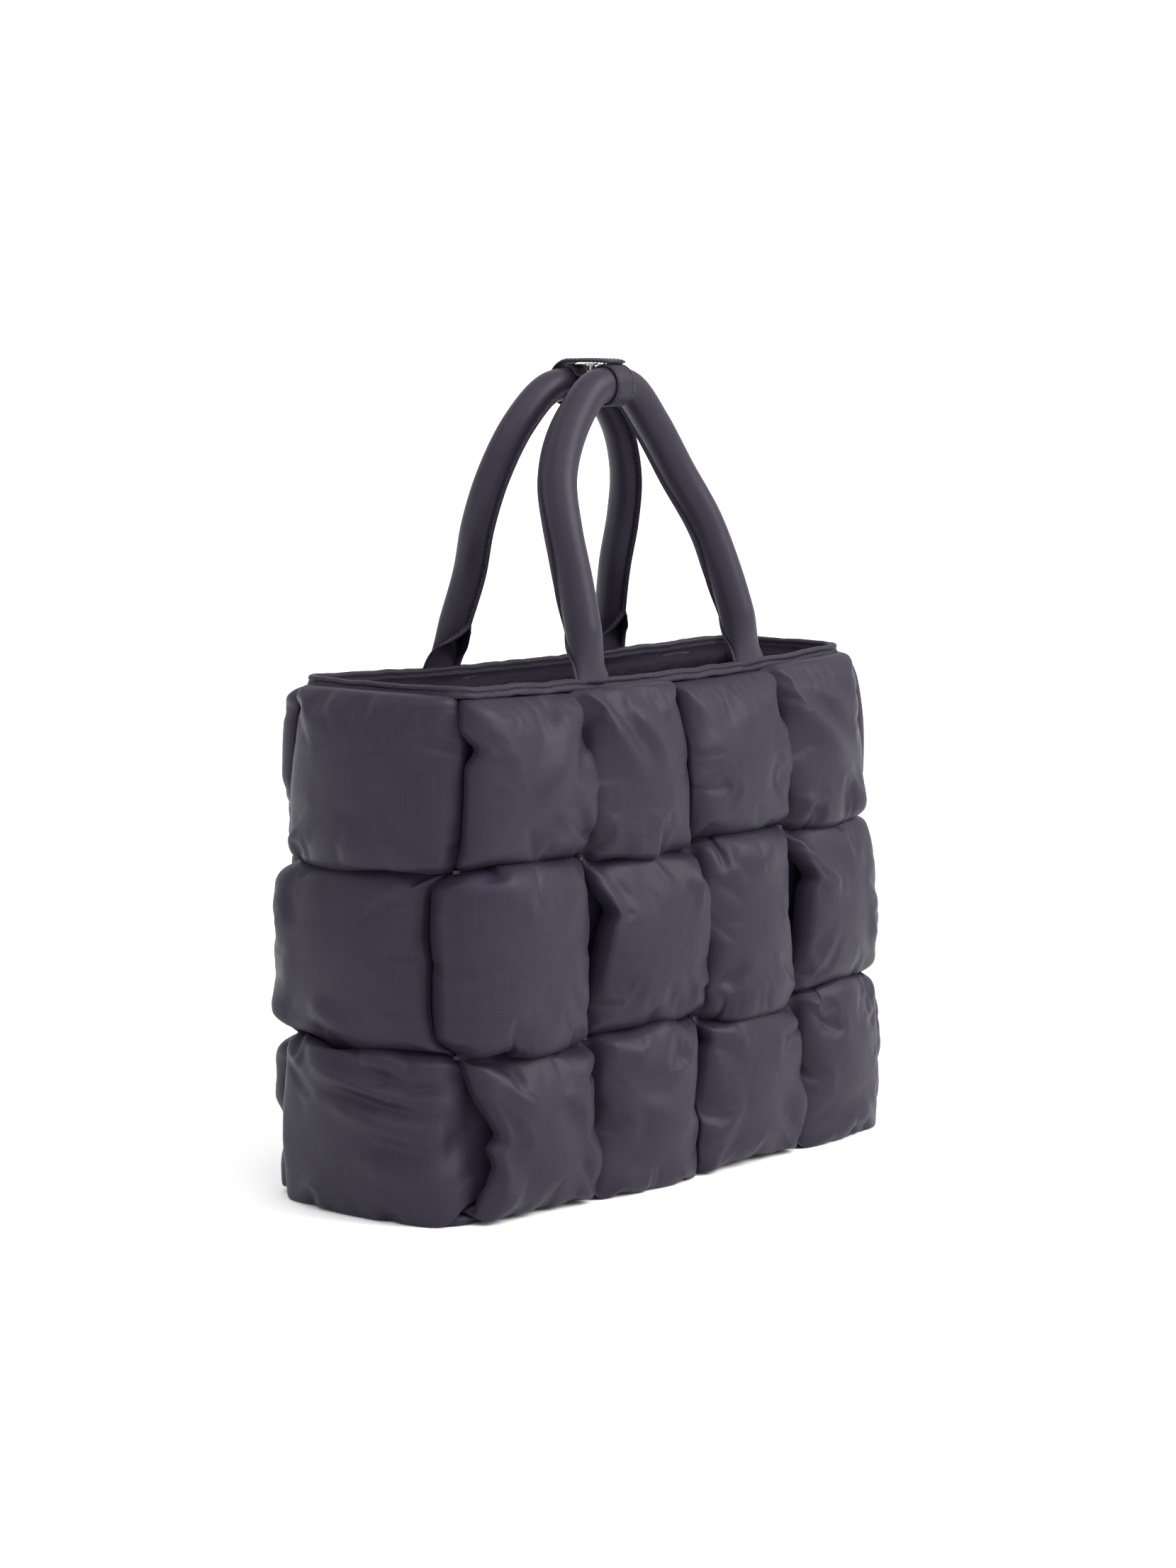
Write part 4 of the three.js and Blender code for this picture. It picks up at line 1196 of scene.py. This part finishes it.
# %% [markdown]
# ## The keeper strap and its snap
# A flat stitched strap wraps both handles at the top. Its lower layer dips between the tubes, its
# flap lies straight over them, and a metal press snap closes the two. Its path is a chain of arcs
# round the tubes, seen from the end, so it fits them whatever their thickness is.

# %% Keeper strap
KEEPER_WIDTH = 16 * MM
KEEPER_THICKNESS = 2 * MM
KEEPER_DIP = 5.7 * MM
KEEPER_TAIL = 4 * MM
KEEPER_NEAR = HANDLE_RADIUS + 1 * MM + KEEPER_THICKNESS / 2
KEEPER_FAR = KEEPER_NEAR + KEEPER_THICKNESS + 0.4 * MM
SNAP_RADIUS = 4.5 * MM
KEEPER_STEPS = 120
TAIL_DROOP = 0.15  # how much the flap's end sinks for each step outwards


def keeper_arc(side, start, end, steps, near=0, far=0):
    """Arc round one tube, in degrees; near and far say how much it lies over another layer."""
    arc = []
    for i in range(steps + 1):
        angle = math.radians(lerp(start, end, i / steps))
        radius = lerp(KEEPER_NEAR, KEEPER_FAR, lerp(near, far, i / steps))
        arc.append(Vector((side * TUBE_OFFSET + radius * math.cos(angle), radius * math.sin(angle))))
    return arc


def keeper_path():
    """Down from the back tube to the snap, over the front tube, under both and back over the top."""
    half = SNAP_RADIUS + KEEPER_THICKNESS / 2
    path = keeper_arc(1, 105, 125, 3)
    path += [Vector((half, KEEPER_DIP)), Vector((-half, KEEPER_DIP))]
    path += keeper_arc(-1, 55, 270, 20) + keeper_arc(1, 270, 380, 10) + keeper_arc(1, 400, 450, 5, 0.35, 1)
    for tail in (0, KEEPER_TAIL / 2, KEEPER_TAIL):
        path.append(Vector((-TUBE_OFFSET - tail, KEEPER_FAR - tail * TAIL_DROOP)))
    return [Vector((TOP_X, p.x, TOP_HEIGHT + p.y)) for p in path]


def keeper_stations():
    line, _ = smooth_route(keeper_path(), KEEPER_STEPS)
    stations = []
    for i, centre in enumerate(line):
        along = (line[min(i + 1, KEEPER_STEPS)] - line[max(i - 1, 0)]).normalized()
        stations.append((centre, along.cross(Vector((1, 0, 0)))))
    return stations


def keeper_section(station, share):
    """A flat section with soft corners, as a strap sewn from two layers has."""
    centre, thick = station
    angle = 2 * math.pi * (share + 1 / 32)
    across, up = math.cos(angle), math.sin(angle)
    across = math.copysign(abs(across) ** 0.35, across)
    up = math.copysign(abs(up) ** 0.6, up)
    return centre + Vector((1, 0, 0)) * KEEPER_WIDTH / 2 * across + thick * KEEPER_THICKNESS / 2 * up * 0.9


keeper_line = keeper_stations()
keeper = sweep("keeper_strap_sewn", keeper_line, keeper_section, 16)
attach(keeper, "root")
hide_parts("keeper_strap")
print("keeper stations:", len(keeper_line))

# %% [markdown]
# ## Stitches
# Every visible seam is topstitched. A stitch is one short six-sided rod of thread, and all the
# stitches of a seam are one mesh. A bump in the material would look flat from the side, and rods
# this small have few enough faces to be real.

# %% One row of stitches
THREAD_RADIUS = 0.28 * MM
STITCH_LENGTH = 2.1 * MM
STITCH_PITCH = 3.1 * MM


def make_stitches(name, places):
    """One mesh of rods; each place gives the rod's middle, its direction and its length."""
    work = bmesh.new()
    for middle, direction, length in places:
        turn = direction.to_track_quat("Z", "Y").to_matrix().to_4x4()
        bmesh.ops.create_cone(work, cap_ends=True, segments=6, radius1=THREAD_RADIUS, radius2=THREAD_RADIUS,
                              depth=length, matrix=Matrix.Translation(middle) @ turn)
    bmesh.ops.recalc_face_normals(work, faces=work.faces)
    piece = finish_mesh(name, work)
    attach(piece, "root")
    return piece


def along_line(points, lifts, pitch=STITCH_PITCH):
    """Stitch places at an even pitch along a line of points, each moved out by its lift."""
    places, carried = [], 0.0
    for before, after, lift in zip(points, points[1:], lifts):
        step = after - before
        carried += step.length
        if carried >= pitch:
            carried -= pitch
            places.append((after + lift, step.normalized(), STITCH_LENGTH))
    return places


print("stitches in ten centimetres:", round(100 * MM / STITCH_PITCH))

# %% [markdown]
# Both leaves of a handle's fin are stitched along their middle. Where the fin opens into the tab
# the seam is locked by a bartack, which is a few rods side by side across it.

# %% Handle stitches
BARTACK_STATION = 13
BARTACK_LENGTH = 3.2 * MM


def fin_places(stations):
    """Stitch places along both leaves of a fin."""
    places = []
    for sign in (-1, 1):
        inner = (1 - 0.5 * FIN_SHARE) * sign
        line = [handle_section(station, (1 + inner) / 2) for station in stations]
        lifts = [station.wide * sign * 0.1 * MM * (1 - station.flat)
                 + station.thick * 0.15 * MM * station.flat
                 for station in stations]
        places += along_line(line, lifts)
    return places


def bartack(station, sign):
    base = handle_section(station, (1 + sign * (1 - 0.6 * FIN_SHARE)) / 2)
    return [(base + station.along * step * MM + station.wide * sign * 0.2 * MM, station.thick, BARTACK_LENGTH)
            for step in (-1.2, -0.6, 0, 0.6, 1.2)]


handle_places = []
for stations in (front_stations, back_stations):
    handle_places += fin_places(stations)
    for i in (BARTACK_STATION, HANDLE_STATIONS - BARTACK_STATION):
        handle_places += bartack(stations[i], -1) + bartack(stations[i], 1)
handle_stitches = make_stitches("handle_stitches", handle_places)
print("handle stitches:", len(handle_places))

# %% [markdown]
# The rim has one row all round, which sits in the groove of the binding. The keeper strap has a
# row along each side, on both of its faces.

# %% Rim and keeper stitches
RIM_POINTS = BINDING_STATIONS * 3
SEAM_INSET = 2 * MM
KEEPER_LIFT = 0.46 * KEEPER_THICKNESS
KEEPER_PITCH = 2.8 * MM

rim_line = []
for i in range(RIM_POINTS + 1):
    centre, normal = binding_centre(i * COLUMNS / RIM_POINTS)
    rim_line.append(centre + normal * GROOVE.x * MM + Vector((0, 0, GROOVE.y * MM)))
rim_places = along_line(rim_line, [Vector((0, 0, 0))] * len(rim_line))
rim_stitches = make_stitches("rim_stitches", rim_places)

keeper_places = []
for side in (-1, 1):
    for face in (-1, 1):
        line = [centre + Vector((side * (KEEPER_WIDTH / 2 - SEAM_INSET), 0, 0)) for centre, _ in keeper_line]
        lifts = [thick * face * KEEPER_LIFT for _, thick in keeper_line]
        keeper_places += along_line(line, lifts, KEEPER_PITCH)
keeper_stitches = make_stitches("keeper_stitches", keeper_places)
print("rim and keeper stitches:", len(rim_places), len(keeper_places))

# %% [markdown]
# Where four squares meet, the strips are tacked together. Three short threads lie in each corner.

# %% Corner tacks
CORNER_HEIGHT = 4.5 * MM
TACK_LENGTH = 4 * MM
corner_places = []
for row in range(1, ROWS):
    for column in range(COLUMNS):
        place = wall_place(column, row)
        along = Vector((place.normal.y, -place.normal.x, 0))
        for step in (-0.7, 0, 0.7):
            middle = place.point + place.normal * CORNER_HEIGHT + Vector((0, 0, step * MM))
            corner_places.append((middle, along, TACK_LENGTH))
corner_tacks = make_stitches("corner_tacks", corner_places)
thread_pieces = [handle_stitches, rim_stitches, keeper_stitches, corner_tacks]
print("corner threads:", len(corner_places))

# %% [markdown]
# ## Materials
# Colours are written as they look on a screen and turned linear by one function. One small
# function adds a node, with its settings and links, so that each material reads as a recipe.

# %% Colour and node helpers
def hex_colour(code):
    """A screen colour as linear red, green, blue and alpha."""
    def linear(value):
        return value / 12.92 if value <= 0.04045 else ((value + 0.055) / 1.055) ** 2.4
    return (*(linear(int(code[i:i + 2], 16) / 255) for i in (1, 3, 5)), 1.0)


def add_node(tree, kind, settings=None, inputs=None):
    """Add a node; an input is a value, or the output of another node that is linked to it."""
    node = tree.nodes.new(kind)
    for key, value in (settings or {}).items():
        setattr(node, key, value)
    for key, value in (inputs or {}).items():
        if isinstance(value, bpy.types.NodeSocket):
            tree.links.new(value, node.inputs[key])
        else:
            node.inputs[key].default_value = value
    return node


def new_material(name):
    material = bpy.data.materials.new(name)
    material.use_nodes = True
    tree = material.node_tree
    return material, tree, tree.nodes["Principled BSDF"]


print("shell colour, linear:", [round(value, 3) for value in hex_colour("#201c29")[:3]])

# %% [markdown]
# Nylon taffeta is thread woven so fine that its weave barely shows. What does show is a satin
# sheen, faint streaks where a thread is thicker, and soft creases. All three are drawn in the
# piece's own cloth coordinates, which are in metres along and across the cloth.

# %% Woven nylon
NYLON_IOR = 1.53
THREAD_PITCH = 0.45 * MM
STREAK_LENGTH, STREAK_WIDTH = 45 * MM, 0.9 * MM


def mix_colour(tree, factor, first, second):
    """Blend two colours; the sockets are numbered, because a mix node names several alike."""
    node = add_node(tree, "ShaderNodeMix", {"data_type": "RGBA"})
    tree.links.new(factor, node.inputs[0])
    node.inputs[6].default_value = first
    node.inputs[7].default_value = second
    return node.outputs[2]


def combine(tree, operation, first, second):
    return add_node(tree, "ShaderNodeMath", {"operation": operation}, {0: first, 1: second}).outputs[0]


def woven_nylon(name, colour, streak_colour, roughness, gloss, sheen, crease_size, crease_depth):
    """Nylon cloth with thread streaks in its colour, and threads, streaks and creases as relief."""
    material, tree, skin = new_material(name)
    place = add_node(tree, "ShaderNodeUVMap", {"uv_map": "cloth"}).outputs["UV"]

    def stretched_noise(along, across, detail=2.0):
        spread = add_node(tree, "ShaderNodeVectorMath", {"operation": "MULTIPLY"},
                          {0: place, 1: (1 / along, 1 / across, 1)})
        inputs = {"Vector": spread.outputs[0], "Scale": 1.0, "Detail": detail}
        return add_node(tree, "ShaderNodeTexNoise", {}, inputs).outputs[0]

    warp = stretched_noise(STREAK_LENGTH, STREAK_WIDTH)
    weft = stretched_noise(STREAK_WIDTH, STREAK_LENGTH)
    streaks = combine(tree, "MULTIPLY", combine(tree, "ADD", warp, weft), 0.5)
    contrast = add_node(tree, "ShaderNodeMapRange", {},
                        {"Value": streaks, "From Min": 0.35, "From Max": 0.68})
    colours = mix_colour(tree, contrast.outputs[0], hex_colour(colour), hex_colour(streak_colour))
    tree.links.new(colours, skin.inputs["Base Color"])
    threads = stretched_noise(THREAD_PITCH, THREAD_PITCH, 0.0)
    creases = stretched_noise(crease_size, crease_size, 3.0)
    fine = add_node(tree, "ShaderNodeBump", {}, {"Height": threads, "Distance": 0.02 * MM, "Strength": 0.5})
    streaky = add_node(tree, "ShaderNodeBump", {},
                       {"Height": streaks, "Distance": 0.04 * MM, "Strength": 0.6, "Normal": fine.outputs[0]})
    soft = add_node(tree, "ShaderNodeBump", {}, {
        "Height": creases, "Distance": crease_depth, "Strength": 1.0, "Normal": streaky.outputs[0]})
    tree.links.new(soft.outputs[0], skin.inputs["Normal"])
    skin.inputs["Roughness"].default_value = roughness
    skin.inputs["IOR"].default_value = NYLON_IOR
    skin.inputs["Specular IOR Level"].default_value = gloss
    skin.inputs["Sheen Weight"].default_value = sheen
    skin.inputs["Sheen Roughness"].default_value = 0.35
    skin.inputs["Sheen Tint"].default_value = hex_colour("#c9c3d8")
    return material


shell = woven_nylon("satin_taffeta_nylon", "#201c29", "#262230", 0.5, 0.16, 0.03, 12 * MM, 0.3 * MM)
satin = woven_nylon("crinkled_satin_nylon", "#14111a", "#1e1a25", 0.6, 0.05, 0.0, 7 * MM, 1.3 * MM)
tape = woven_nylon("folded_nylon_binding", "#211d28", "#28242f", 0.52, 0.16, 0.03, 7 * MM, 0.4 * MM)
tube = woven_nylon("smooth_nylon_over_padding", "#221e2b", "#272331", 0.46, 0.18, 0.09, 14 * MM, 0.25 * MM)
strap = woven_nylon("flat_sewn_nylon_strap", "#221f2a", "#282530", 0.5, 0.16, 0.05, 6 * MM, 0.2 * MM)
nylons = [shell, satin, tape, tube, strap]
print("nylons:", [material.name for material in nylons])

# %% [markdown]
# Thread is plain polyester, a little glossier than the cloth. The snap is the one metal piece. It
# keeps its solid, and gets nickel whose polish varies a little, as it does on pressed caps.

# %% Thread and nickel
thread, _, skin = new_material("polyester_thread")
skin.inputs["Base Color"].default_value = hex_colour("#2b2833")
skin.inputs["Roughness"].default_value = 0.45
skin.inputs["IOR"].default_value = NYLON_IOR
for piece in thread_pieces:
    piece.data.materials.append(thread)

nickel, tree, metal = new_material("polished_nickel")
metal.inputs["Metallic"].default_value = 1.0
metal.inputs["Base Color"].default_value = hex_colour("#8f8b88")
brushed = add_node(tree, "ShaderNodeTexNoise", {}, {
    "Vector": add_node(tree, "ShaderNodeTexCoord").outputs["Object"], "Scale": 1 / (0.6 * MM), "Detail": 3.0})
polish = add_node(tree, "ShaderNodeMapRange", {},
                  {"Value": brushed.outputs[0], "To Min": 0.14, "To Max": 0.26})
tree.links.new(polish.outputs[0], metal.inputs["Roughness"])
snap = bpy.data.objects["keeper_snap"]
snap.data.materials.clear()
snap.data.materials.append(nickel)
for pieces, material in zip((strips, [lining], [binding], handles, [keeper]), nylons):
    for piece in pieces:
        piece.data.materials.append(material)
print("pieces with thread:", len(thread_pieces), "and with nickel:", snap.name)

# %% [markdown]
# ## Camera, light and floor
# The camera was fitted to the corners of the rim and of the base. The bag stands on white paper,
# lit by a broad soft light from the front and a weaker one from above, with a white room around.

# %% The stage
CAMERA_PLACE = Vector((-1.853, -1.560, 0.519))
CAMERA_AZIMUTH = math.radians(-49.86)
CAMERA_PITCH = math.radians(6.92)
FOCAL_PIXELS = 5800.7
PHOTO_HEIGHT = 2212
SENSOR = 36
FLOOR_HALF = 20

camera_data = bpy.data.cameras.new("camera")
camera_data.sensor_fit = "VERTICAL"
camera_data.sensor_height = SENSOR
camera_data.lens = FOCAL_PIXELS / PHOTO_HEIGHT * SENSOR
camera_data.clip_start, camera_data.clip_end = 0.05, 100
camera = bpy.data.objects.new("camera", camera_data)
camera.location = CAMERA_PLACE
camera.rotation_euler = (math.pi / 2 - CAMERA_PITCH, 0, CAMERA_AZIMUTH)
bpy.context.scene.collection.objects.link(camera)
bpy.context.scene.camera = camera

floor = bmesh.new()
bmesh.ops.create_grid(floor, x_segments=1, y_segments=1, size=FLOOR_HALF)
floor = finish_mesh("studio_floor", floor)
paper, _, surface = new_material("white_paper")
surface.inputs["Base Color"].default_value = (0.95, 0.95, 0.95, 1)
surface.inputs["Roughness"].default_value = 1.0
floor.data.materials.append(paper)


def add_sun(name, place, strength, softness):
    """A sun that shines from a place towards the bag; its softness is in degrees."""
    data = bpy.data.lights.new(name, "SUN")
    data.energy = strength
    data.angle = math.radians(softness)
    light = bpy.data.objects.new(name, data)
    light.location = place
    light.rotation_euler = Vector(place).to_track_quat("Z", "Y").to_euler()
    bpy.context.scene.collection.objects.link(light)


add_sun("key", (0.55, -1.0, 0.85), 3.2, 40)
add_sun("top", (-0.35, -0.25, 1.0), 1.3, 60)
world = bpy.data.worlds.new("studio")
bpy.context.scene.world = world
world.use_nodes = True
world.node_tree.nodes["Background"].inputs["Color"].default_value = (1, 1, 1, 1)
world.node_tree.nodes["Background"].inputs["Strength"].default_value = 1.0
bpy.context.scene.view_settings.view_transform = "Standard"
print("lens, mm:", round(camera_data.lens, 1))
